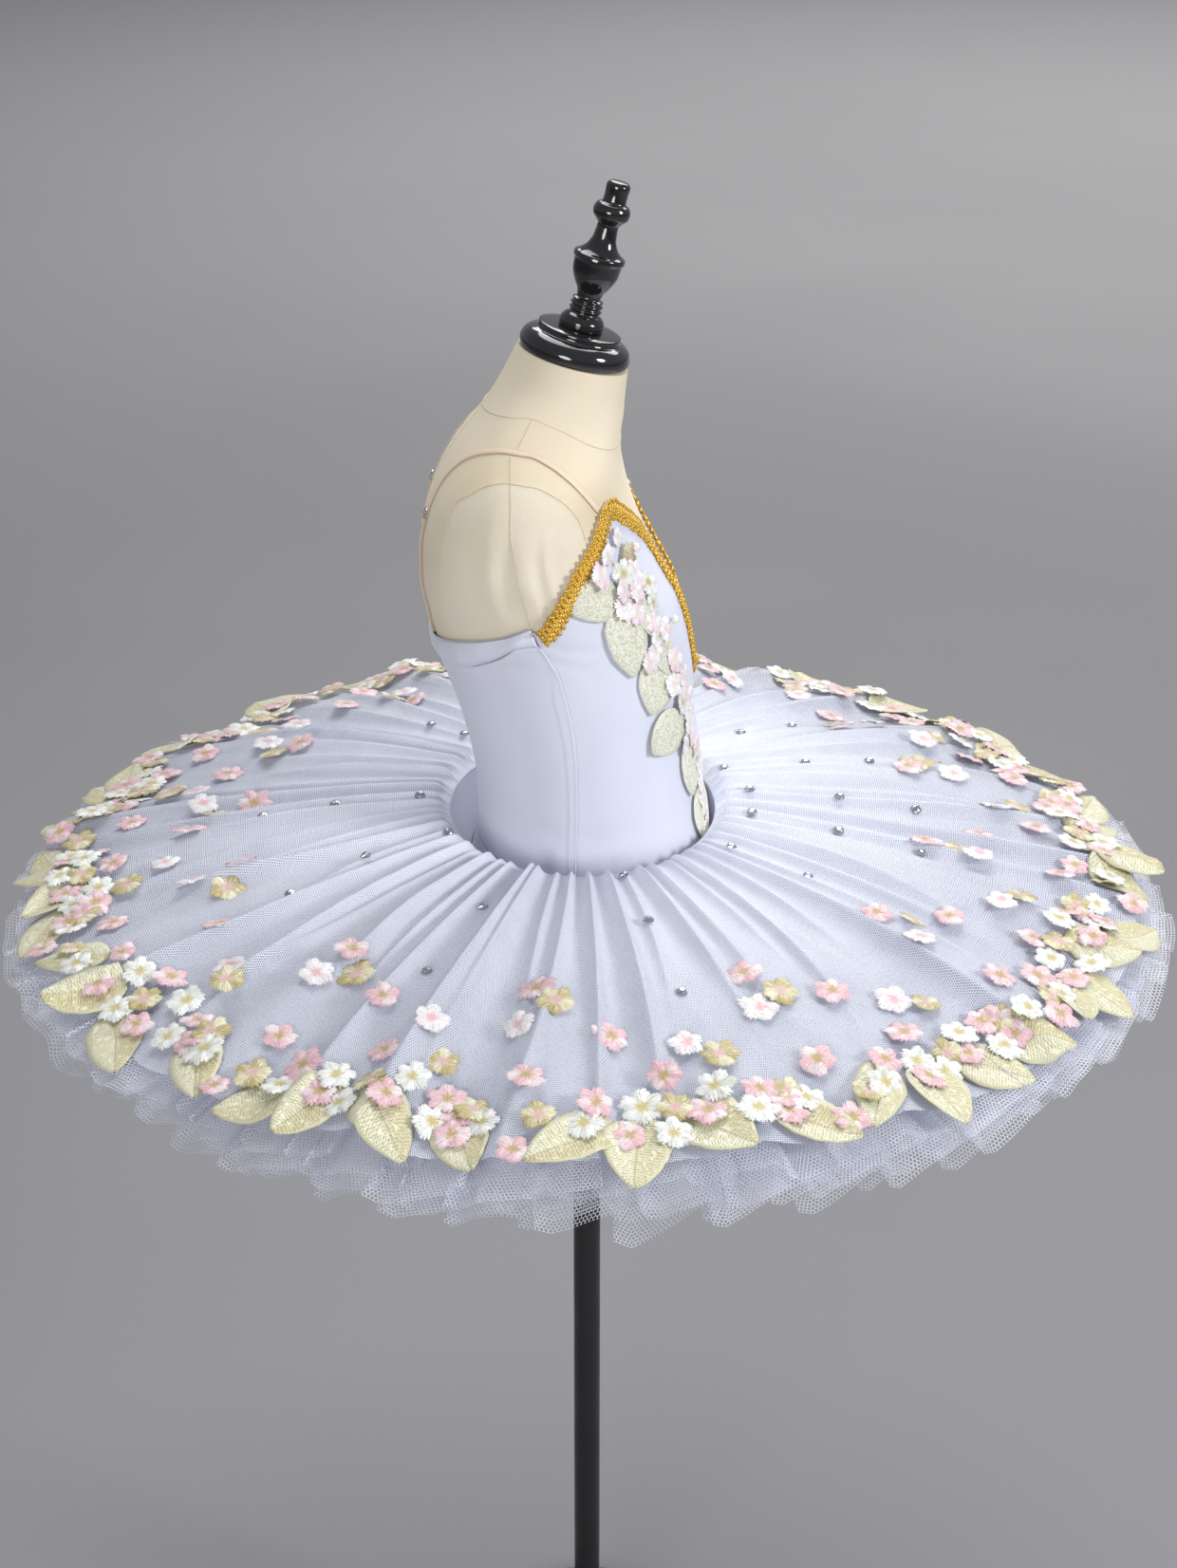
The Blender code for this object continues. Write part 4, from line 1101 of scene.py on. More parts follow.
# ---------------- embroidery
@dataclass(frozen=True)
class Leaf:
    """Leaf of satin stitch: length, width, height of its crown, lift of its tip and of its edges."""

    length: float
    width: float
    crown: float
    tip_lift: float
    edge_lift: float
    shade: float
    seed: int

    def patch(self, carry: Callable[[Array, Array, Array], Array], lift: float) -> Shell:
        """Leaf on whatever carries it.

        Args:
            carry: function from metres across, metres along and lift to points.
            lift: height of the leaf's underside.

        Returns:
            The leaf's upper surface; its middle is at 0, 0 and its tip lies along.
        """
        rng = np.random.default_rng(self.seed)
        along = np.concatenate(([0.004, 0.03], np.linspace(0.08, 0.94, 13), [0.975, 0.995]))[:, None]
        across = np.linspace(-1.0, 1.0, 9)[None, :]
        outline = along**0.55 * (1 - along) ** 0.8
        outline = outline / 0.401 * (1 + rng.normal(0.0, 0.016, outline.shape))
        bend = rng.uniform(-0.1, 0.1) * self.length * (along - 0.5) ** 2
        sideways = across * outline * self.width / 2 + bend
        forward = (along - 0.5) * self.length
        round_edge = 1 - np.abs(across) ** 3
        height = (lift + self.crown * round_edge - 0.45 * self.crown * hump(across, 0.1)
                  + self.tip_lift * along**3 + self.edge_lift * across**2 * (1 - (2 * along - 1) ** 2))
        sideways, forward, height = np.broadcast_arrays(sideways, forward, height)
        uv = grid_uv(0.5 + across / 2, along)
        return grid_shell(carry(sideways, forward, height), uv, tone=self.shade)


class Bloom(Enum):
    """Kinds of stitched flower, with their petals' tones in two variants."""

    ROSE = ((0.95, 0.85, 0.2, 0.9, 0.35), (0.15, 0.9, 1.0, 0.5, 0.9, 0.75))
    # On the daisy the deeper tone is painted shade on white petals.
    DAISY = ((0.1, 0.3, 0.0, 0.5, 0.2, 0.1), (0.2, 0.1, 0.4, 0.1, 0.3, 0.0))
    BLUSH = ((0.1, 0.5, 0.2, 0.0, 0.3), (0.3, 0.1, 0.0, 0.5, 0.2))
    GOLD = ((0.9, 0.3, 0.8, 1.0, 0.2), (0.3, 0.9, 1.0, 0.1, 0.8, 0.9))


ROSE, DAISY, BLUSH, GOLD = Bloom


def bloom_motif(shades: tuple[float, ...], seed: int) -> Shell:
    """Stitched flower one metre across: petals round a small stitched middle.

    Args:
        shades: tone of each petal.
        seed: seed of the petals' unevenness.

    Returns:
        The flower's shell, up along +Z.
    """
    rng = np.random.default_rng(seed)
    petals = len(shades)
    steps = 4 * petals
    turn = np.arange(steps) * math.tau / steps + rng.normal(0.0, 0.03, steps)
    outline = np.tile((0.83, 1.01, 1.07, 1.01), petals) * (1 + np.repeat(rng.normal(0.0, 0.06, petals), 4))
    tones = np.repeat(shades, 4)
    rings = []
    for share, height in ((0.3, 0.055), (0.68, 0.075), (1.0, 0.015)):
        reach = mix(1.0, outline, share) * share * 0.5
        dip = np.tile((-0.035, 0.012, 0.02, 0.012), petals) * share
        rings.append(np.stack((reach * np.cos(turn), reach * np.sin(turn), height + dip), axis=-1))
    vertices = np.concatenate([np.array([[0.0, 0.0, 0.06]]), *rings])
    faces, spots = [], []
    for i in range(steps):
        j = (i + 1) % steps
        left, right = i / steps, (i + 1) / steps
        faces.append((0, 1 + i, 1 + j))
        spots += [((left + right) / 2, 0.0), (left, 0.3), (right, 0.3)]
        for ring, (low, high) in enumerate(((0.3, 0.68), (0.68, 1.0))):
            a, b = 1 + ring * steps, 1 + (ring + 1) * steps
            faces.append((a + i, b + i, b + j, a + j))
            spots += [(left, low), (left, high), (right, high), (right, low)]
    tone = np.concatenate(([tones.mean()], tones, tones, tones))
    return Shell(vertices, faces, np.array(spots), tone)


def stone_motif() -> Shell:
    """Round faceted stone one metre across."""
    turn = np.arange(10) * math.tau / 10
    rings = [np.stack((r * np.cos(turn + t), r * np.sin(turn + t), np.full(10, z)), axis=-1)
             for r, t, z in ((0.5, 0.0, 0.0), (0.5, 0.0, 0.1), (0.36, math.pi / 10, 0.27), (0.2, 0.0, 0.36))]
    vertices = np.concatenate(rings)
    faces = [tuple(range(30, 40)), tuple(reversed(range(10)))]
    for ring in range(3):
        a, b = ring * 10, (ring + 1) * 10
        for i in range(10):
            j = (i + 1) % 10
            faces.append((a + i, a + j, b + j, b + i))
    return Shell(vertices, faces, np.zeros((sum(map(len, faces)), 2)), np.zeros(len(vertices)))


def bead_motif() -> Shell:
    """Round bead one metre across, resting on the ground."""
    mesh = bmesh.new()
    bmesh.ops.create_icosphere(mesh, subdivisions=2, radius=0.5)
    vertices = np.array([tuple(vertex.co) for vertex in mesh.verts]) + (0.0, 0.0, 0.42)
    faces = [tuple(vertex.index for vertex in face.verts) for face in mesh.faces]
    mesh.free()
    return Shell(vertices, faces, np.zeros((3 * len(faces), 2)), np.zeros(len(vertices)))


def loop_motif() -> Shell:
    """Half loop of thread one metre wide, standing along +Y."""
    turn = np.linspace(-0.2, math.pi + 0.2, 9)
    path = np.stack((0.5 * np.cos(turn), 0.62 * np.sin(turn), np.zeros(9)), axis=-1)
    return tube_shell(path, 0.16, 4, normals=np.tile((0.0, 0.0, 1.0), (9, 1)))


# ---------------- bodice
@dataclass(frozen=True)
class Crease:
    """Shallow trough in stretched cloth, from one place to another."""

    start: tuple[float, float]
    end: tuple[float, float]
    width: float
    depth: float


def crease_relief(creases: tuple[Crease, ...], degrees: Array, height: Array) -> Array:
    """Adds up a set of creases.

    Args:
        creases: the creases.
        degrees: round the figure.
        height: above the waist.

    Returns:
        The relief at each place, negative in a trough.
    """
    degrees, height = np.broadcast_arrays(degrees, height)
    relief = np.zeros(degrees.shape)
    for crease in creases:
        start = np.array((crease.start[0] * METRES_PER_DEGREE, crease.start[1]))
        run = np.array((crease.end[0] * METRES_PER_DEGREE, crease.end[1])) - start
        length = float(np.hypot(*run))
        across = np.stack((degrees * METRES_PER_DEGREE - start[0], height - start[1]), axis=-1)
        along = across @ run / length**2
        away = (across[..., 0] * run[1] - across[..., 1] * run[0]) / length
        away = away - 0.06 * length * np.sin(math.pi * np.clip(along, 0, 1))
        taper = smooth_step(-0.15, 0.25, along) * (1 - smooth_step(0.6, 1.15, along))
        relief = relief - crease.depth * taper * hump(away, crease.width)
    return relief


@dataclass
class Bodice(SubAssembly):
    """Stretch front and back, the turned band behind, straps, gold braid and embroidered sprays."""

    hem: float = -0.02
    wall: float = 0.0008
    outer: float = 0.0012
    front_clearance: float = 0.0014
    clearance: float = 0.0018
    seam_lap: float = 0.1
    side: float = 94.0
    strap_width: float = 0.0043
    braid_inset: float = 0.0052
    braid_step: float = 0.0005
    cord_radius: float = 0.00178
    cord_wave: float = 0.0125
    cord_swing: float = 0.0042
    loop_radius: float = 0.0012
    loop_wave: float = 0.0054
    curl_place: tuple = (0.116, -3.0, 0.003)
    slider_key: float = 12.28
    slider_half_width: float = 0.0037
    slider_half_height: float = 0.0033
    picot_size: float = 0.0023
    picot_step: float = 0.0026
    pearl_size: float = 0.0068
    embroidery_wall: float = 0.0007
    # The bodice sits turned a little to the left, so the V's point lies left of the middle.
    point_of_v: float = 5.5
    neckline_table: tuple = (
        (-94, 0.178), (-90, 0.184), (-82, 0.197), (-72, 0.214), (-63, 0.228), (-54, 0.2395), (-46, 0.253),
        (-40, 0.2612), (-36, 0.2606), (-26.5, 0.2504), (-19.0, 0.2398), (-11.2, 0.2256), (-8.0, 0.2115),
        (-7.0, 0.197), (-6.4, 0.182), (-5.8, 0.166), (-5.0, 0.15), (-3.2, 0.134), (0.8, 0.1185), (5.5, 0.112),
        (10.4, 0.1185), (14.5, 0.134), (16.6, 0.15), (17.9, 0.166), (19.0, 0.182), (20.2, 0.197), (21.9, 0.2115),
        (25.5, 0.2256), (32.0, 0.2398), (38.0, 0.2504), (43.8, 0.2598), (47.5, 0.2608), (53.0, 0.253),
        (59.5, 0.2395), (67, 0.228), (75, 0.214), (83, 0.197), (90, 0.184), (94, 0.178))
    # The side seam: heights and degrees.
    seam_table: tuple = ((-0.02, 97.0), (0.018, 95.4), (0.05, 93.0), (0.08, 90.5), (0.11, 89.6),
                         (0.14, 89.6), (0.158, 91.0), (0.178, 94.0))
    # The band behind: degrees, height of its fold and of its picot edge.
    back_table: tuple = ((94, 0.169, 0.183), (103, 0.165, 0.176), (112, 0.156, 0.171),
                         (121, 0.149, 0.167), (132, 0.142, 0.162), (145, 0.138, 0.156),
                         (160, 0.135, 0.15), (180, 0.133, 0.147))
    strap_table: tuple = (
        (43, 0.256), (47, 0.261), (53, 0.269), (61, 0.2775), (71, 0.285), (84, 0.2915), (100, 0.2955),
        (117, 0.295), (134, 0.2915), (147, 0.2855), (156, 0.2765), (161, 0.265), (163, 0.248),
        (163, 0.225), (162, 0.2), (161, 0.175), (160, 0.1535))
    creases: tuple = tuple(Crease(*row) for row in (
        ((-93, 0.172), (-66, 0.163), 0.0032, 0.001), ((-92, 0.16), (-72, 0.148), 0.0036, 0.0008),
        ((-96, 0.012), (-60, 0.028), 0.007, 0.00045), ((-95, 0.03), (-72, 0.052), 0.006, 0.0003),
        ((-40, 0.006), (-12, 0.016), 0.006, 0.00035), ((94, 0.166), (64, 0.158), 0.0036, 0.0009),
        ((92, 0.15), (76, 0.139), 0.005, 0.0003), ((96, 0.004), (66, 0.024), 0.0065, 0.00045),
        ((92, 0.044), (74, 0.058), 0.006, 0.0003), ((20, 0.01), (44, 0.022), 0.007, 0.00035),
        ((-100, 0.01), (-140, 0.024), 0.007, 0.00045), ((-98, 0.036), (-126, 0.046), 0.006, 0.0003),
        ((-97, 0.152), (-124, 0.138), 0.004, 0.0009), ((99, 0.012), (134, 0.022), 0.007, 0.00045),
        ((97, 0.034), (120, 0.05), 0.006, 0.0003), ((100, 0.14), (132, 0.122), 0.006, 0.0004),
        ((150, 0.006), (174, 0.018), 0.006, 0.00035), ((-178, 0.014), (-154, 0.008), 0.006, 0.00035)))

    def __post_init__(self) -> None:
        """Makes the curves of the tables."""
        self.neckline = Curve(*zip(*self.neckline_table))
        self.seam = Curve(*zip(*self.seam_table))
        degrees, fold, picot = zip(*self.back_table)
        self.fold, self.picot = Curve(degrees, fold), Curve(degrees, picot)
        key = range(len(self.strap_table))
        self.strap_degrees, self.strap_height = (Curve(key, values) for values in zip(*self.strap_table))

    def front_lift(self, degrees: Array, height: Array) -> Array:
        """Distance of the front's outer face from the form."""
        clearance = mix(self.front_clearance, self.clearance, (degrees / self.side) ** 2)
        return clearance + self.outer + crease_relief(self.creases, degrees, height)

    def on_front(self, degrees: Array, height: Array, lift: Array) -> Array:
        """Points at a lift above the front's outer face."""
        place, normal, _, _ = FIGURE.axes(height, degrees, self.front_lift(degrees, height))
        return place + normal * np.asarray(lift)[..., None]

    def build(self) -> None:
        """Builds and dresses the bodice."""
        self.build_front()
        self.build_back()
        self.build_band()
        for side in Side:
            self.build_strap(side)
            self.build_braid(side)
            self.build_spray(side)

    def build_front(self) -> None:
        """Front panel from hem to neckline, its edges along both side seams tucked a little in."""
        ease = np.linspace(-1.0, 1.0, 141)
        station = self.side * np.sign(ease) * (0.72 * np.abs(ease) + 0.28 * np.abs(ease) ** 2)
        edge = np.array([0.0, 0.15, 0.4, 0.8, 1.6])
        station = np.unique(np.concatenate((station, self.side - edge, edge - self.side,
                                            np.arange(-11.2, -2.0, 0.2), np.arange(13.0, 25.5, 0.3))))[None, :]
        share = np.concatenate((np.linspace(0.0, 1.0, 90), np.ones(4)))[:, None]
        turned = np.concatenate((np.zeros(90), (0.2, 0.55, 0.85, 0.95)))[:, None]
        height = mix(self.hem, self.neckline.at(station), share) + 0.0016 * turned * (0.5 - turned)
        to_seam = self.seam.at(height) + self.seam_lap - self.side
        degrees = station + to_seam * (station / self.side) ** 3
        from_seam = (self.side - np.abs(station)) * METRES_PER_DEGREE
        tucked = 0.0004 * hump(from_seam, 0.0007)
        points = FIGURE.point(height, degrees, self.front_lift(degrees, height) * (1 - turned) - tucked)
        uv = grid_uv(degrees * METRES_PER_DEGREE, height + 0.003 * turned)
        panel = mesh_object("stretch_front", grid_shell(points, uv), self.finishes.spandex)
        thicken(panel, self.wall)
        fit(panel, "white_spandex", "bodice_front")

    def build_back(self) -> None:
        """Back panel from hem to the fold of its band."""
        near = np.array((0.0, 0.2, 0.4, 0.7, 1.0, 1.5, 2.5, 3.2, 3.7, 4.1, 4.5))
        station = np.concatenate((self.side + near, np.linspace(self.side + 5, FULL_TURN - self.side - 5, 131),
                                  (FULL_TURN - self.side - near)[::-1]))[None, :]
        share = np.linspace(0.0, 1.0, 72)[:, None]
        away = np.minimum(station, FULL_TURN - station)
        height = mix(self.hem, self.fold.at(away) + 0.0015, share)
        reach = 180 - self.seam.at(height) + self.seam_lap
        degrees = 180 + (station - 180) / (180 - self.side) * reach
        signed = np.where(degrees > 180, degrees - FULL_TURN, degrees)
        from_seam = np.minimum(station - self.side, FULL_TURN - self.side - station) * METRES_PER_DEGREE
        width = mix(0.0072, 0.001, smooth_step(0.12, 0.164, height))
        allowance = 1 - smooth_step(width, width + 0.0014, from_seam)
        ridge = hump(from_seam - 0.0008, 0.0006)
        raised = (0.00035 * allowance + 0.00035 * ridge) * smooth_step(-0.0002, 0.0006, from_seam)
        lift = self.clearance + self.outer + crease_relief(self.creases, signed, height)
        points = FIGURE.point(height, degrees, lift + raised)
        uv = grid_uv(degrees * METRES_PER_DEGREE, height)
        panel = mesh_object("stretch_back", grid_shell(points, uv), self.finishes.spandex)
        thicken(panel, self.wall)
        fit(panel, "white_spandex", "bodice_back")

    def build_band(self) -> None:
        """Turned band behind, rolled off the form, with small picot loops on its edge."""
        station = np.linspace(self.side - 0.9, FULL_TURN - self.side + 0.9, 183)[None, :]
        away = np.maximum(np.minimum(station, FULL_TURN - station), self.side)
        share = np.array([0.0, 0.03, 0.08, 0.15, 0.25, 0.36, 0.48, 0.6, 0.72, 0.84, 0.93, 1.0])[:, None]
        lift = Curve((0.0, 0.2, 0.6, 1.0), (0.0024, 0.0058, 0.0052, 0.0024)).at(share)
        rng = np.random.default_rng(5)
        waves = sum(a * np.sin(np.radians(station) * k + p) for a, k, p in
                    zip((0.0006, 0.0005, 0.0004), (7, 13, 22), rng.uniform(0, 6, 3)))
        seam_roll = 0.0016 * hump(away - self.side - 7, 6) * np.sin(math.pi * share) ** 2
        height = mix(self.fold.at(away), self.picot.at(away), share)
        points = FIGURE.point(height, station, lift + waves * np.sin(math.pi * share) + seam_roll)
        uv = grid_uv(station * METRES_PER_DEGREE, height)
        band = mesh_object("turned_back_band", grid_shell(points, uv), self.finishes.spandex)
        thicken(band, self.wall)
        fit(band, "white_spandex", "back_band")
        step = self.picot_step / METRES_PER_DEGREE
        spots = []
        for degrees in np.arange(self.side + 1, FULL_TURN - self.side - 1, step):
            height = float(self.picot.at(min(degrees, FULL_TURN - degrees)))
            place, normal, _, up = FIGURE.axes(height, degrees, self.picot_size)
            spots.append(Spot(place, normal, up, 1.0))
        for side in Side:
            place, normal, around, up = FIGURE.axes(0.1795, side.value * (self.side - 1.0), 0.0042)
            spots += [Spot(place, unit(normal + turn * around), up, 1.5) for turn in (-0.6, 0.1, 0.8)]
        fit(self.scatter.sew("picot_edge", spots, loop_motif(), self.finishes.white_thread,
                             size=self.picot_size, spread=0.12, seed=3), "white_spandex")

    def ribbon(self, side: Side, start: float, end: float, width: float, lift: float) -> Shell:
        """Makes a length of the strap's route as a flat band with soft edges.

        Args:
            side: which strap.
            start: first row of the strap's table, or a place between rows.
            end: last row.
            width: width of the elastic.
            lift: height of its middle above the form.

        Returns:
            The band's shell.
        """
        key = np.linspace(start, end, int(18 * (end - start)) + 2)
        degrees, height = side.value * self.strap_degrees.at(key), self.strap_height.at(key)
        place, normal, _, _ = FIGURE.axes(height, degrees, 0.0)
        return tube_shell(place + normal * lift, width / 2, 10, flat=0.17, normals=normal)

    def build_strap(self, side: Side) -> None:
        """Builds an elastic strap, doubled below its slider, and the slider itself.

        Args:
            side: which strap.
        """
        last = len(self.strap_table) - 1
        strap = join_shells([self.ribbon(side, 0, last, self.strap_width, 0.0009),
                             self.ribbon(side, 12.35, last, self.strap_width, 0.002)])
        fit(mesh_object(f"elastic_strap_{side.ending}", strap, self.finishes.elastic), "nude_elastic",
            f"strap_{side.ending}")
        place, normal, _, _ = FIGURE.axes(self.strap_height.at(self.slider_key),
                                          side.value * self.strap_degrees.at(self.slider_key), 0.0)
        ahead = np.array((0.0, 0.0, -1.0)) + normal * normal[2]
        ahead, across = unit(ahead), unit(np.cross(ahead, normal))
        middle = place + normal * 0.0027
        half = across * self.slider_half_width
        corners = [middle + a * half + b * ahead * self.slider_half_height for a, b in
                   ((-1, -0.8), (-0.8, -1), (0.8, -1), (1, -0.8), (1, 0.8), (0.8, 1), (-0.8, 1), (-1, 0.8))]
        bar = [middle - half + normal * 0.0002, middle + half + normal * 0.0002]
        slider = join_shells([tube_shell(np.array(corners), 0.00055, 8, np.tile(normal, (8, 1)), closed=True),
                              tube_shell(np.array(bar), 0.0005, 8, np.tile(normal, (2, 1)))])
        fit(mesh_object(f"wire_slider_{side.ending}", slider, self.finishes.nickel), "silver_wire",
            f"strap_slider_{side.ending}")

    def neck_path(self, side: Side) -> tuple[Array, Array]:
        """Draws the braid's middle line, from the V to the side seam.

        Args:
            side: which braid.

        Returns:
            Its degrees and its heights, in even steps.
        """
        bottom = side.value * self.point_of_v
        degrees = np.linspace(bottom + 0.5, self.side - 1.2, 900)
        height = self.neckline.at(side.value * degrees)
        girth = FIGURE.curves["half_width"].at(height)
        run = np.gradient(np.radians(degrees) * girth), np.gradient(height)
        length = np.hypot(*run)
        inset = degrees + np.degrees(run[1] / length * self.braid_inset / girth)
        lowered = height - run[0] / length * self.braid_inset
        line = np.stack((np.radians(inset) * girth, lowered), axis=-1)
        travelled = run_along(line)
        even = np.arange(0.0, travelled[-1], self.braid_step)
        return (side.value * np.maximum(np.interp(even, travelled, inset), bottom + 0.2),
                np.interp(even, travelled, lowered))

    def build_braid(self, side: Side) -> None:
        """Builds the gimp braid of one side: three looping cords between two looped edges.

        Args:
            side: which braid.
        """
        degrees, height = self.neck_path(side)
        place = self.on_front(degrees, height, np.full(len(degrees), 0.0009))
        _, normal, _, _ = FIGURE.axes(height, degrees, 0.004)
        ahead = unit(np.gradient(place, axis=0))
        across = unit(np.cross(ahead, normal))
        travelled = run_along(place)
        rng = np.random.default_rng(11 + side.value)
        shells = []
        for strand in range(3):
            phase = math.tau * (travelled / self.cord_wave + strand / 3)
            wander = np.interp(travelled, np.linspace(0, travelled[-1], 40), rng.normal(0.0, 0.0003, 40))
            sideways = self.cord_swing * np.sin(phase) + wander
            up = 0.0002 + 0.0008 * np.cos(2 * phase + 0.6)
            path = place + across * sideways[:, None] + normal * up[:, None]
            radius = self.cord_radius * (1 + 0.15 * np.sin(math.tau * travelled / 0.0027 + strand))
            shells.append(tube_shell(path[::2], radius[::2], 7, flat=0.8, normals=normal[::2], tone=strand / 3))
        for edge in (-1, 1):
            phase = math.tau * (travelled / self.loop_wave + 0.25 * edge)
            sideways = edge * (0.0054 + 0.0016 * np.sin(phase) + 0.0005 * np.sin(0.31 * phase))
            path = place + across * sideways[:, None] + normal * (0.0002 + 0.0005 * np.cos(phase))[:, None]
            shells.append(tube_shell(path, self.loop_radius, 5, flat=0.8, normals=normal, tone=0.9))
        if side is Side.RIGHT:
            curl = np.linspace(0, 4.2 * math.pi, 60)
            end, outward, _, upward = FIGURE.axes(*self.curl_place)
            ring = 0.004 - 0.00022 * curl
            across = np.cross(upward, outward)
            loop = (end + outward * (0.001 + 0.0002 * curl)[:, None] + across * (ring * np.cos(curl))[:, None]
                    + upward * (ring * np.sin(curl))[:, None])
            shells.append(tube_shell(loop, 0.0015, 7, normals=np.tile(outward, (60, 1)), tone=0.5))
        fit(mesh_object(f"gimp_braid_{side.ending}", join_shells(shells), self.finishes.gimp), "gold_gimp",
            f"gold_braid_{side.ending}")

    # Leaves of the left spray: degrees, height, heading from down towards the side seam, length and width.
    spray_leaves = (
        (62.5, 0.2, 75, 0.044, 0.033), (56.5, 0.164, 12, 0.053, 0.036), (43.0, 0.178, -15, 0.048, 0.022),
        (47.5, 0.124, 30, 0.044, 0.036), (39.0, 0.144, -10, 0.034, 0.026), (45.5, 0.086, 62, 0.042, 0.036),
        (30.0, 0.083, 0, 0.034, 0.018), (28.5, 0.049, 15, 0.046, 0.034), (21.5, 0.005, -8, 0.05, 0.034))
    spray_blooms = (
        (56, 0.217, ROSE, 0.022), (36, 0.221, GOLD, 0.02), (40.5, 0.198, ROSE, 0.023),
        (44, 0.212, DAISY, 0.02), (49.4, 0.145, ROSE, 0.02), (29.8, 0.122, ROSE, 0.019),
        (52, 0.19, BLUSH, 0.02), (36, 0.184, DAISY, 0.017), (47, 0.182, ROSE, 0.019),
        (27, 0.095, BLUSH, 0.019), (33, 0.104, DAISY, 0.018), (25, 0.07, ROSE, 0.018),
        (22, 0.03, BLUSH, 0.016), (24, 0.052, DAISY, 0.015), (19, -0.003, ROSE, 0.015),
        (40, 0.237, BLUSH, 0.016), (42, 0.16, BLUSH, 0.016), (49, 0.229, BLUSH, 0.018),
        (37.5, 0.209, BLUSH, 0.022), (47.5, 0.201, ROSE, 0.021), (32.5, 0.197, DAISY, 0.018),
        (41, 0.172, ROSE, 0.02), (35.5, 0.163, BLUSH, 0.02), (45, 0.151, BLUSH, 0.018),
        (34, 0.137, ROSE, 0.02), (38, 0.121, BLUSH, 0.02), (29, 0.109, ROSE, 0.018),
        (33, 0.07, BLUSH, 0.018), (27, 0.083, BLUSH, 0.018), (22, 0.06, ROSE, 0.016),
        (21, 0.043, BLUSH, 0.015), (22, 0.016, BLUSH, 0.014))
    spray_pearls = ((31.7, 0.223, 1.0), (28.6, 0.165, 1.05), (40.5, 0.198, 0.6), (27, 0.095, 0.6), (52, 0.19, 0.5))

    def on_spray(self, side: Side, degrees: Array) -> Array:
        """Degrees of a place on one side's spray, the bodice being turned to the left."""
        return side.value * (degrees + (5.0 if side is Side.LEFT else -0.5))

    def build_spray(self, side: Side) -> None:
        """Builds the embroidered leaves, flowers and pearls on one side of the front.

        Args:
            side: which spray.
        """
        shells = []
        for number, (degrees, height, heading, length, width) in enumerate(self.spray_leaves):
            angle = math.radians(heading)
            span = float(np.linalg.norm(FIGURE.point(height, degrees + 1) - FIGURE.point(height, degrees - 1))) / 2

            def carry(sideways: Array, forward: Array, lift: Array) -> Array:
                """Carries a leaf's own metres to points on the front.

                Args:
                    sideways: metres across the leaf.
                    forward: metres along it.
                    lift: height above the front.

                Returns:
                    The points.
                """
                round_it = forward * math.sin(angle) + sideways * math.cos(angle)
                down = forward * math.cos(angle) - sideways * math.sin(angle)
                turned = self.on_spray(side, degrees + round_it / span)
                return self.on_front(turned, height - down, lift)

            leaf = Leaf(length, width, 0.0011, 0.0012, 0.001, shade=0.25 + 0.5 * (number % 2), seed=40 + number)
            shell = leaf.patch(carry, 0.001 + 0.0006 * (number % 3))
            if side is Side.LEFT:
                shell.faces = [tuple(reversed(face)) for face in shell.faces]
                shell.uv = shell.uv.reshape(-1, 4, 2)[:, ::-1].reshape(-1, 2)
            shells.append(shell)
        leaves = mesh_object(f"spray_leaves_{side.ending}", join_shells(shells), self.finishes.bead_leaf)
        thicken(leaves, self.embroidery_wall)
        fit(leaves, "leaf_embroidery", f"bodice_spray_{side.ending}")
        self.sew_spray(side)

    def sew_spray(self, side: Side) -> None:
        """Sews the flowers and pearls of one spray.

        Args:
            side: which spray.
        """
        rng = np.random.default_rng(21)
        by_kind: dict[Bloom, list[Spot]] = {}
        for degrees, height, kind, size in self.spray_blooms:
            degrees = self.on_spray(side, degrees)
            place = self.on_front(degrees, height, 0.003)
            _, normal, around, up = FIGURE.axes(height, degrees, 0.004)
            angle = rng.uniform(0, math.tau)
            tilt = unit(normal + 0.12 * rng.normal(size=3))
            by_kind.setdefault(kind, []).append(
                Spot(place, tilt, around * math.cos(angle) + up * math.sin(angle), size))
        for kind, spots in by_kind.items():
            motif, finish = self.flower(kind, 0)
            finish = self.finishes.lace if kind in (ROSE, BLUSH) else finish
            name = f"spray_{kind.name.lower()}_{side.ending}"
            fit(self.scatter.sew(name, spots, motif, finish, spread=0.08, seed=7), "flower_thread")
        pearls = []
        for degrees, height, share in self.spray_pearls:
            degrees = self.on_spray(side, degrees)
            place = self.on_front(degrees, height, 0.0026)
            _, normal, _, up = FIGURE.axes(height, degrees, 0.004)
            pearls.append(Spot(place, normal, up, share))
        beads = self.scatter.sew(f"spray_pearls_{side.ending}", pearls, bead_motif(), self.finishes.pearl,
                                 size=self.pearl_size, spread=0.1, seed=4)
        fit(beads, "pearl")


# ---------------- skirt
@dataclass(frozen=True)
class Net:
    """One ruffled under net: the solid it belongs to, where it is sewn, its rim, pleats and seed."""

    node: str
    sewn: float
    rim: float
    reach: float
    pleats: int
    seed: int


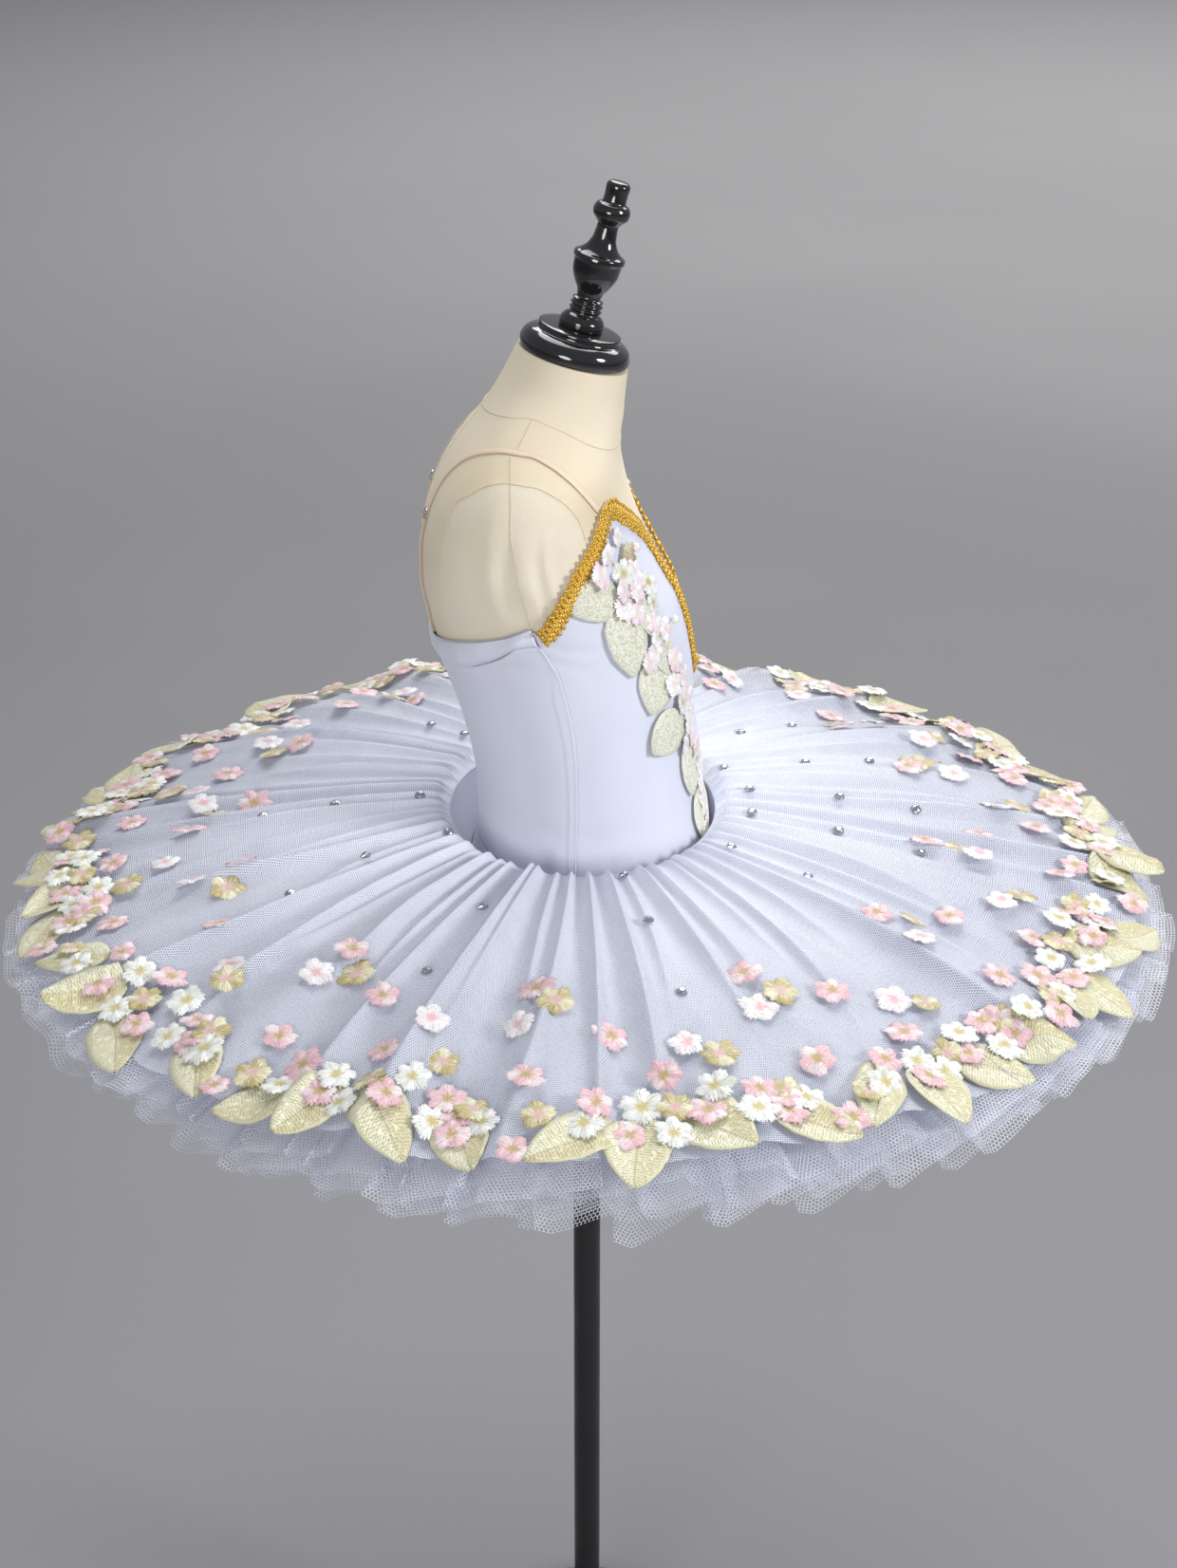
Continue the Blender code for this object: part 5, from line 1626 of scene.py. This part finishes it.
@dataclass
class SkirtShape:
    """Surface of the top layer, gathered at the waist opening and falling softly to the rim."""

    rim_width: float = 0.438
    rim_depth: float = 0.43
    opening_width: float = 0.128
    opening_depth: float = 0.10175
    opening_middle: float = 0.00325
    drop: float = 0.063
    straight_drop: float = 0.35
    lip: float = 0.006
    gathers: int = 62
    folds: int = 19
    seed: int = 17
    motif_reach: float = 0.024

    def __post_init__(self) -> None:
        """Lays out the gathers and folds, no two alike."""
        rng = np.random.default_rng(self.seed)
        count, spacing = self.gathers, math.tau / self.gathers
        # Place, height, reach, width and bend of each gather.
        self.ridge_rows = tuple(zip(
            (np.arange(count) + rng.uniform(-0.32, 0.32, count)) * spacing, rng.uniform(0.0032, 0.0084, count),
            rng.uniform(0.5, 1.4, count), spacing * rng.uniform(0.15, 0.33, count), rng.normal(0.0, 0.1, count)))
        count, spacing = self.folds, math.tau / self.folds
        # Place, height, width, start and skew of each fold.
        self.fold_rows = tuple(zip(
            (np.arange(count) + rng.uniform(-0.25, 0.25, count)) * spacing, rng.uniform(0.004, 0.0088, count),
            spacing * rng.uniform(0.17, 0.32, count), rng.uniform(-0.1, 0.28, count),
            rng.uniform(-0.35, 0.35, count)))

    def opening(self, turn: Array, outset: float = 0.0) -> Array:
        """Level position of the opening's edge, or outside it."""
        width, depth = self.opening_width + outset, self.opening_depth + outset
        return np.stack((width * np.sin(turn), self.opening_middle - depth * np.cos(turn)), axis=-1)

    def rim(self, turn: Array) -> Array:
        """Level position of the leaf tips."""
        return np.stack((self.rim_width * np.sin(turn), -self.rim_depth * np.cos(turn)), axis=-1)

    def fall(self, share: Array) -> Array:
        """Drop below the opening, without folds."""
        return self.drop * mix(share**2, share, self.straight_drop)

    def relief(self, share: Array, turn: Array) -> Array:
        """Adds up the gathers and folds.

        Args:
            share: 0 at the opening, 1 at the leaf tips.
            turn: radians round the skirt.

        Returns:
            Their height at each place.
        """
        share, turn = np.broadcast_arrays(share, turn)
        relief = np.zeros(share.shape)
        for place, height, reach, width, bend in self.ridge_rows:
            away = (turn - place - bend * share * share + math.pi) % math.tau - math.pi
            fade = smooth_step(0.0, 0.035, share) * (1 - smooth_step(0.45 * reach, 1.1 * reach, share))
            spread = width * (1 + 0.2 * share)
            relief = relief + height * (1 + 1.1 * share) * fade * np.exp(-np.abs(away / spread) ** 1.3)
        for place, height, width, start, skew in self.fold_rows:
            away = (turn - place + math.pi) % math.tau - math.pi
            away = away * np.where(away > 0, 1 + skew, 1 - skew)
            swell = smooth_step(start, start + 0.8, share)
            mean = width * math.sqrt(math.pi) / math.tau
            peak = 1.45 + 0.75 * np.sin(math.pi * np.clip(share, 0.0, 1.0))
            relief = relief + height * swell * peak * (hump(away, width) - mean)
        return relief

    def point(self, share: Array, turn: Array, lift: Array = 0.0) -> Array:
        """Finds points of the top layer, or above it.

        Args:
            share: 0 at the opening, 1 at the leaf tips.
            turn: radians round the skirt.
            lift: height above the layer.

        Returns:
            The points.
        """
        share, turn, lift = np.broadcast_arrays(share, turn, lift)
        level = mix(self.opening(turn), self.rim(turn), share[..., None])
        lip = self.lip * np.maximum(0.0, 1 - share / 0.06) ** 2
        height = WAIST_HEIGHT + self.relief(share, turn) - self.fall(share) - lip + lift
        return np.concatenate((level, height[..., None]), axis=-1)

    def locate(self, level: Array) -> tuple[Array, Array]:
        """Turns level positions into places on the skirt.

        Args:
            level: positions, 2.

        Returns:
            Their shares and their turns.
        """
        turn = np.arctan2(level[..., 0], -level[..., 1])
        share = np.zeros_like(turn)
        for _ in range(5):
            inner, outer = self.opening(turn), self.rim(turn)
            run = outer - inner
            offset = level - inner
            share = (offset * run).sum(axis=-1) / (run * run).sum(axis=-1)
            aside = (offset[..., 1] * run[..., 0] - offset[..., 0] * run[..., 1]) / np.linalg.norm(run, axis=-1)
            turn = turn + aside / mix(self.opening_width, self.rim_width, share)
        return share, turn

    def frame(self, share: float, turn: float, lift: float) -> tuple[Array, Array, Array]:
        """Finds how a motif lies at one place.

        Args:
            share: 0 at the opening, 1 at the leaf tips.
            turn: radians round the skirt.
            lift: height above the top layer.

        Returns:
            Point, normal and outward direction.
        """
        step = self.motif_reach
        place = self.point(share, turn, lift)
        out = unit(self.point(share + step, turn) - self.point(share - step, turn))
        round_it = unit(self.point(share, turn + step) - self.point(share, turn - step))
        normal = np.cross(out, round_it)
        return place, unit(normal if normal[2] > 0 else -normal), out


@dataclass
class Skirt(SubAssembly):
    """Brief, hip yoke, gathered top layer with its embroidery and stones, and the nets below."""

    shape: SkirtShape
    net_edge: float = 0.967
    cloth: float = 0.0008
    yoke_seam: float = -0.046
    yoke_rim: float = -0.0075
    stone_size: float = 0.0082
    embroidery_wall: float = 0.0007
    net_steps: int = 12
    net_rows: int = 18
    columns: int = 1180
    rows: int = 52
    repeat_starts: tuple = (-160.5, -126, -97, -65.5, -38.5, -11.5, 16.5, 38, 66, 94, 123, 152, 175.5)
    # Flowers of one repeat: kind, share of the way to the next repeat, share of the way to the leaf tips.
    blooms: tuple = (
        (ROSE, 0.0, 0.505), (GOLD, 0.1, 0.555), (BLUSH, -0.04, 0.61),
        (ROSE, 0.02, 0.76), (ROSE, 0.01, 0.92), (GOLD, 0.09, 0.87),
        (DAISY, 0.2, 0.88), (ROSE, 0.24, 0.81), (ROSE, 0.32, 0.62),
        (ROSE, 0.35, 0.87), (DAISY, 0.39, 0.81), (DAISY, 0.46, 0.89),
        (ROSE, 0.48, 0.75), (GOLD, 0.5, 0.82), (BLUSH, 0.6, 0.67),
        (ROSE, 0.61, 0.86), (DAISY, 0.645, 0.79), (GOLD, 0.695, 0.72),
        (DAISY, 0.73, 0.87), (ROSE, 0.78, 0.8), (ROSE, 0.82, 0.83),
        (ROSE, 0.83, 0.87), (GOLD, 0.86, 0.82), (DAISY, 0.9, 0.86))
    # Leaves of one repeat: share to the next repeat and to the rim at its tip, heading, length and width.
    leaves: tuple = ((-0.035, 1.01, 48, 0.061, 0.039), (0.057, 0.99, -52, 0.061, 0.037),
                     (0.317, 1.03, -16, 0.059, 0.042), (0.69, 1.0, 34, 0.059, 0.04))
    # Rays of stones: turn, and shares of the way to the leaf tips.
    stones: tuple = (
        (-177, (0.07, 0.27, 0.44)), (-150, (0.04, 0.25, 0.44)), (-114, (0.22, 0.49)), (-76, (0.06, 0.26, 0.51)),
        (-36, (0.1, 0.3)), (-14.4, (0.09, 0.29, 0.48)), (1.6, (0.08, 0.29, 0.47)), (20, (0.05, 0.26, 0.43)),
        (44.5, (0.24, 0.43)), (70, (0.065, 0.26, 0.46)), (95, (0.065, 0.26, 0.46)), (113, (0.065, 0.26, 0.46)),
        (133, (0.12, 0.25)), (160, (0.06, 0.26)))
    # Nets: node, height of the sewn line and of the rim, reach, pleats and seed.
    nets: tuple = tuple(Net(*row) for row in (
        ("net_layer_1", -0.018, -0.069, 0.436, 54, 31), ("net_layer_1", -0.026, -0.073, 0.441, 50, 32),
        ("net_layer_2", -0.034, -0.077, 0.446, 56, 33), ("net_layer_2", -0.043, -0.081, 0.441, 49, 34),
        ("net_layer_3", -0.056, -0.085, 0.433, 52, 35)))

    def build(self) -> None:
        """Builds and dresses the skirt."""
        self.build_brief()
        self.build_top()
        self.build_leaves()
        self.sew_blooms()
        self.sew_stones()
        self.build_nets()

    def build_brief(self) -> None:
        """Brief over the hips, and the funnel of the yoke that carries the skirt."""
        degrees = np.linspace(0.0, FULL_TURN, 144, endpoint=False)[None, :]
        height = np.linspace(-0.15, -0.0203, 40)[:, None]
        points = FIGURE.point(height, degrees, 0.003)
        across = np.linspace(0.0, FULL_TURN, 145)[None, :] * METRES_PER_DEGREE
        uv = grid_uv(across, height)
        brief = mesh_object("stretch_brief", grid_shell(points, uv, closed=True), self.finishes.spandex)
        thicken(brief, self.cloth)
        fit(brief, "white_spandex", "brief")
        share = np.linspace(0.0, 1.0, 14)[:, None]
        bottom, top = self.funnel(degrees[0])
        points = bottom[None] + (top - bottom)[None] * share[..., None]
        uv = grid_uv(across, share * 0.045)
        yoke = mesh_object("stretch_hip_yoke", grid_shell(points, uv, closed=True), self.finishes.spandex)
        thicken(yoke, 0.001, outward=True)
        fit(yoke, "white_spandex", "hip_yoke")

    def funnel(self, degrees: Array) -> tuple[Array, Array]:
        """Finds the edges of the hip yoke.

        Args:
            degrees: round the figure.

        Returns:
            Points of its lower and of its upper edge.
        """
        rim = self.shape.opening(np.radians(degrees), self.cloth)
        top = np.concatenate((rim, np.full(degrees.shape + (1,), WAIST_HEIGHT + self.yoke_rim)), axis=-1)
        return FIGURE.point(self.yoke_seam, degrees, 0.0036), top

    def build_top(self) -> None:
        """Top layer, gathered at the waist: its holes close up where the cloth is drawn together."""
        turn = np.linspace(0.0, math.tau, self.columns, endpoint=False)[None, :]
        share = np.concatenate((np.linspace(0.0, 0.1, 11)[:-1], np.linspace(0.1, 1.0, self.rows - 10)))[:, None]
        scallop = 0.01 * np.abs(np.sin(26 * turn + 0.8 * np.sin(turn))) - 0.005
        shares = share * (self.net_edge + scallop * share**6)
        points = self.shape.point(shares, turn)
        closeness = np.clip(1 - shares / 0.62, 0.0, 1.0) ** 1.2
        around = np.linspace(0.0, math.tau, self.columns + 1)[None, :] * 0.44 * 1.25
        run = np.concatenate((shares, shares[:, :1]), axis=1) * 0.335
        uv = grid_uv(around, run)
        shell = grid_shell(points, uv, closed=True, upward=True, tone=closeness)
        top = mesh_object("gathered_top_net", shell, self.finishes.tulle)
        fit(top, "white_net", "skirt_top")

    def turn_at(self, repeat: int, share: float) -> float:
        """Turn in radians a share of the way from one repeat to the next."""
        starts = (*self.repeat_starts, self.repeat_starts[0] + FULL_TURN)
        return math.radians(mix(starts[repeat], starts[repeat + 1], share))

    def build_leaves(self) -> None:
        """Leaves along the rim, each laid on the net's folds."""
        rng = np.random.default_rng(23)
        shells = []
        for repeat in range(len(self.repeat_starts)):
            for number, (place, share, heading, length, width) in enumerate(self.leaves):
                turn = self.turn_at(repeat, place + rng.normal(0.0, 0.012))
                share += rng.normal(0.0, 0.008)
                length *= rng.uniform(0.94, 1.08)
                width *= rng.uniform(0.92, 1.08)
                tip = self.shape.point(share, turn)[:2]
                angle = turn + math.radians(heading + rng.normal(0.0, 8.0))
                ahead = np.array((math.sin(angle), -math.cos(angle)))
                aside = np.array((math.cos(angle), math.sin(angle)))
                middle = tip - ahead * length / 2

                def carry(sideways: Array, forward: Array, lift: Array) -> Array:
                    """Leaf's own metres to points on the net."""
                    level = middle + sideways[..., None] * aside + forward[..., None] * ahead
                    return self.shape.point(*self.shape.locate(level), lift)

                curled = rng.random() < 0.25
                leaf = Leaf(length, width, 0.0012, rng.uniform(-0.002, 0.003) + (0.004 if curled else 0.0),
                            rng.uniform(0.0, 0.0012) + (0.0035 if curled else 0.0), rng.uniform(0.15, 1.0),
                            seed=200 + 4 * repeat + number)
                shells.append(leaf.patch(carry, 0.0012 + 0.0007 * (number % 3)))
        leaves = mesh_object("embroidered_leaves", join_shells(shells), self.finishes.leaf)
        thicken(leaves, self.embroidery_wall)
        fit(leaves, "leaf_embroidery", "leaf_border")

    def sew_blooms(self) -> None:
        """Stitched flowers: trios and single ones on the net, close together on the leaves."""
        rng = np.random.default_rng(29)
        spots: dict[tuple[Bloom, int], list[Spot]] = {}
        for repeat in range(len(self.repeat_starts)):
            for kind, place, share in self.blooms:
                turn = self.turn_at(repeat, place + rng.normal(0.0, 0.012))
                share += rng.normal(0.0, 0.01) + 0.03 * float(smooth_step(0.68, 0.8, share))
                lift = (0.0042 if share > 0.82 else 0.0022) + rng.uniform(0.0, 0.0012)
                point, normal, out = self.shape.frame(share, turn, lift)
                tilt = unit(normal + (0.0, 0.0, 0.25) + rng.normal(0.0, 0.14, 3))
                angle = rng.uniform(0.0, math.tau)
                round_it = np.cross(tilt, out)
                ahead = out * math.cos(angle) + round_it * math.sin(angle)
                spot = Spot(point, tilt, ahead, rng.uniform(0.0235, 0.0275))
                spots.setdefault((kind, int(rng.integers(2))), []).append(spot)
        for (kind, variant), sewn in spots.items():
            piece = self.scatter.sew(f"rim_{kind.name.lower()}_{variant + 1}", sewn,
                                     *self.flower(kind, variant), spread=0.08, seed=9 + variant)
            fit(piece, "flower_thread")

    def sew_stones(self) -> None:
        """Glass stones in rays from the waist."""
        spots = []
        for degrees, shares in self.stones:
            for share in shares:
                point, normal, out = self.shape.frame(share, math.radians(degrees), 0.0007)
                spots.append(Spot(point, normal, out, 1.0))
        stones = self.scatter.sew("skirt_stones", spots, stone_motif(), self.finishes.crystal,
                                  size=self.stone_size, smooth=False)
        fit(stones, "crystal")

    def sewn_line(self, height: float, degrees: Array) -> Array:
        """Finds where a net is sewn: on the yoke's funnel, or lower down on the brief.

        Args:
            height: above the waist.
            degrees: round the figure.

        Returns:
            The points.
        """
        if height < self.yoke_seam:
            return FIGURE.point(height, degrees, 0.004)
        bottom, top = self.funnel(degrees)
        return bottom + (top - bottom) * (height - self.yoke_seam) / (self.yoke_rim - self.yoke_seam)

    def net_shell(self, net: Net) -> Shell:
        """Pleats one net in overlapping folds with a straight-cut, stepping edge.

        Args:
            net: the net.

        Returns:
            Its shell; u and v are metres of cloth.
        """
        rng = np.random.default_rng(net.seed)
        q = np.arange(net.pleats * self.net_steps + 1) / self.net_steps
        whole = np.minimum(q.astype(int), net.pleats - 1)
        size = rng.uniform(0.3, 1.65, net.pleats + 1)
        size[-1] = size[0]
        shift = np.cumsum(rng.uniform(0.5, 1.5, net.pleats))
        shift = np.concatenate(([0.0], shift / shift[-1] * net.pleats))
        local = q - whole
        strength = mix(size[whole], size[whole + 1], smooth_step(0.0, 1.0, local))
        base_turn = mix(shift[whole], shift[whole + 1], local)
        share = np.linspace(0.0, 1.0, self.net_rows)[:, None] ** 0.85
        overlap = 0.26 * strength * share**0.8
        folded = np.arcsin(np.sin(math.tau * q)) * 2 / math.pi
        turn = (base_turn + overlap * folded) * math.tau / net.pleats + rng.uniform(0, 0.1)
        step = rng.uniform(-0.008, 0.008, net.pleats + 1)
        step[-1] = step[0]
        stepped = mix(step[whole], step[whole + 1], smooth_step(0.42, 0.58, local))
        reach = net.reach + stepped + 0.0012 * np.cos(math.tau * q)
        nearest = (turn + math.pi / 2 + math.pi) % math.tau - math.pi
        depth = 0.0052 + 0.26 * (-net.rim - 0.069) * (1 + hump(nearest, 0.7))
        droop = 0.45 * (-net.rim - 0.06) * hump(nearest, 0.55) * share**2
        waves = sum(a * np.sin(k * turn + p) for a, k, p in
                    zip((0.002, 0.0016, 0.001), (3, 7, 11), rng.uniform(0, 6, 3))) * share**2
        rise = depth * strength * np.arcsin(0.98 * np.sin(math.tau * q - math.pi / 6)) / 1.37 * share**1.3
        rise = rise + 0.0012 * np.cos(math.tau * q * 2) * share
        inner = self.sewn_line(net.sewn, np.degrees(turn))
        outer = np.stack((reach * np.sin(turn), -reach * 0.992 * np.cos(turn)), axis=-1)
        level = mix(inner[..., :2], outer, share[..., None])
        gap_inside, gap_rim = -net.sewn, -net.rim - self.shape.drop
        height = (-self.shape.fall(share) - gap_inside * (1 - share) ** 1.15 - gap_rim * share
                  + 0.4 * self.shape.relief(share, turn) * share + rise + waves - droop + WAIST_HEIGHT)
        points = np.concatenate((level, height[..., None]), axis=-1)
        uv = grid_uv(run_along(points[-1])[None, :], share * 0.33)
        return grid_shell(points, uv, upward=True, tone=np.broadcast_to((1 - share) * 0.7, points.shape[:2]))

    def build_nets(self) -> None:
        """Five pleated nets below the top layer."""
        for number, net in enumerate(self.nets, 1):
            ruffle = mesh_object(f"pleated_net_{number}", self.net_shell(net), self.finishes.net)
            fit(ruffle, "white_net", net.node)


# ---------------- studio
@dataclass
class Studio(SubAssembly):
    """Pale floor, soft lights and camera."""

    floor_reach: float = 30.0
    floor_drop: float = 0.0005
    eye: tuple = (-1.805, 0.0, 1.6939)
    pitch: float = 66.004
    yaw: float = -90.042
    lens: float = 59.23
    sensor: float = 36.0
    sky: tuple = (0.64, 0.66, 0.72, 1.0)
    sky_strength: float = 0.44
    # Lights: name, place, target, width, watts and colour.
    lights: tuple = (
        ("key_light", (-1.3, -2.9, 2.3), (0.0, 0.0, 0.9), 0.9, 82.0, (0.97, 0.98, 1.0)),
        ("fill_light", (-3.0, 0.9, 1.55), (0.0, 0.0, 0.9), 1.4, 50.0, (1.0, 0.985, 0.96)),
        ("top_light", (0.9, -0.2, 3.0), (0.0, 0.0, 0.9), 1.8, 37.0, (0.98, 0.985, 1.0)),
        ("back_light", (8.0, -2.5, 6.0), (9.0, -2.5, 0.0), 9.0, 850.0, (1.0, 0.96, 0.91)))

    def build(self) -> None:
        """Sets up floor, lights, world and camera."""
        far = self.floor_reach
        corners = np.array([[(x, y, -self.floor_drop) for x in (-far, far)] for y in (-far, far)])
        floor = grid_shell(corners, np.zeros((2, 2, 2)))
        mesh_object("studio_floor", floor, self.finishes.floor, smooth=False)
        scene = bpy.context.scene
        for name, place, target, size, power, colour in self.lights:
            lamp = bpy.data.lights.new(name, "AREA")
            lamp.shape, lamp.size, lamp.energy, lamp.color = "DISK", size, power, colour
            light = bpy.data.objects.new(name, lamp)
            light.location = place
            light.rotation_euler = (Vector(target) - Vector(place)).to_track_quat("-Z", "Y").to_euler()
            scene.collection.objects.link(light)
        scene.world = bpy.data.worlds.new("studio_world")
        scene.world.use_nodes = True
        sky = scene.world.node_tree.nodes["Background"].inputs
        sky["Color"].default_value, sky["Strength"].default_value = self.sky, self.sky_strength
        scene.view_settings.view_transform = "Standard"
        scene.cycles.transparent_max_bounces = 40
        camera = bpy.data.cameras.new("camera")
        camera.lens, camera.sensor_width, camera.clip_end = self.lens, self.sensor, 100.0
        viewer = bpy.data.objects.new("camera", camera)
        viewer.location = self.eye
        viewer.rotation_euler = (math.radians(self.pitch), 0.0, math.radians(self.yaw))
        scene.collection.objects.link(viewer)
        scene.camera = viewer


def main() -> None:
    """Builds the costume on its form, and the studio round it."""
    logging.basicConfig(level=logging.INFO, format="%(name)s: %(message)s")
    kit = Finishes(), MotifScatter()
    for part in (DressForm(*kit), Stand(*kit), Bodice(*kit), Skirt(*kit, SkirtShape()), Studio(*kit)):
        part.build()


if __name__ == "__main__":
    main()
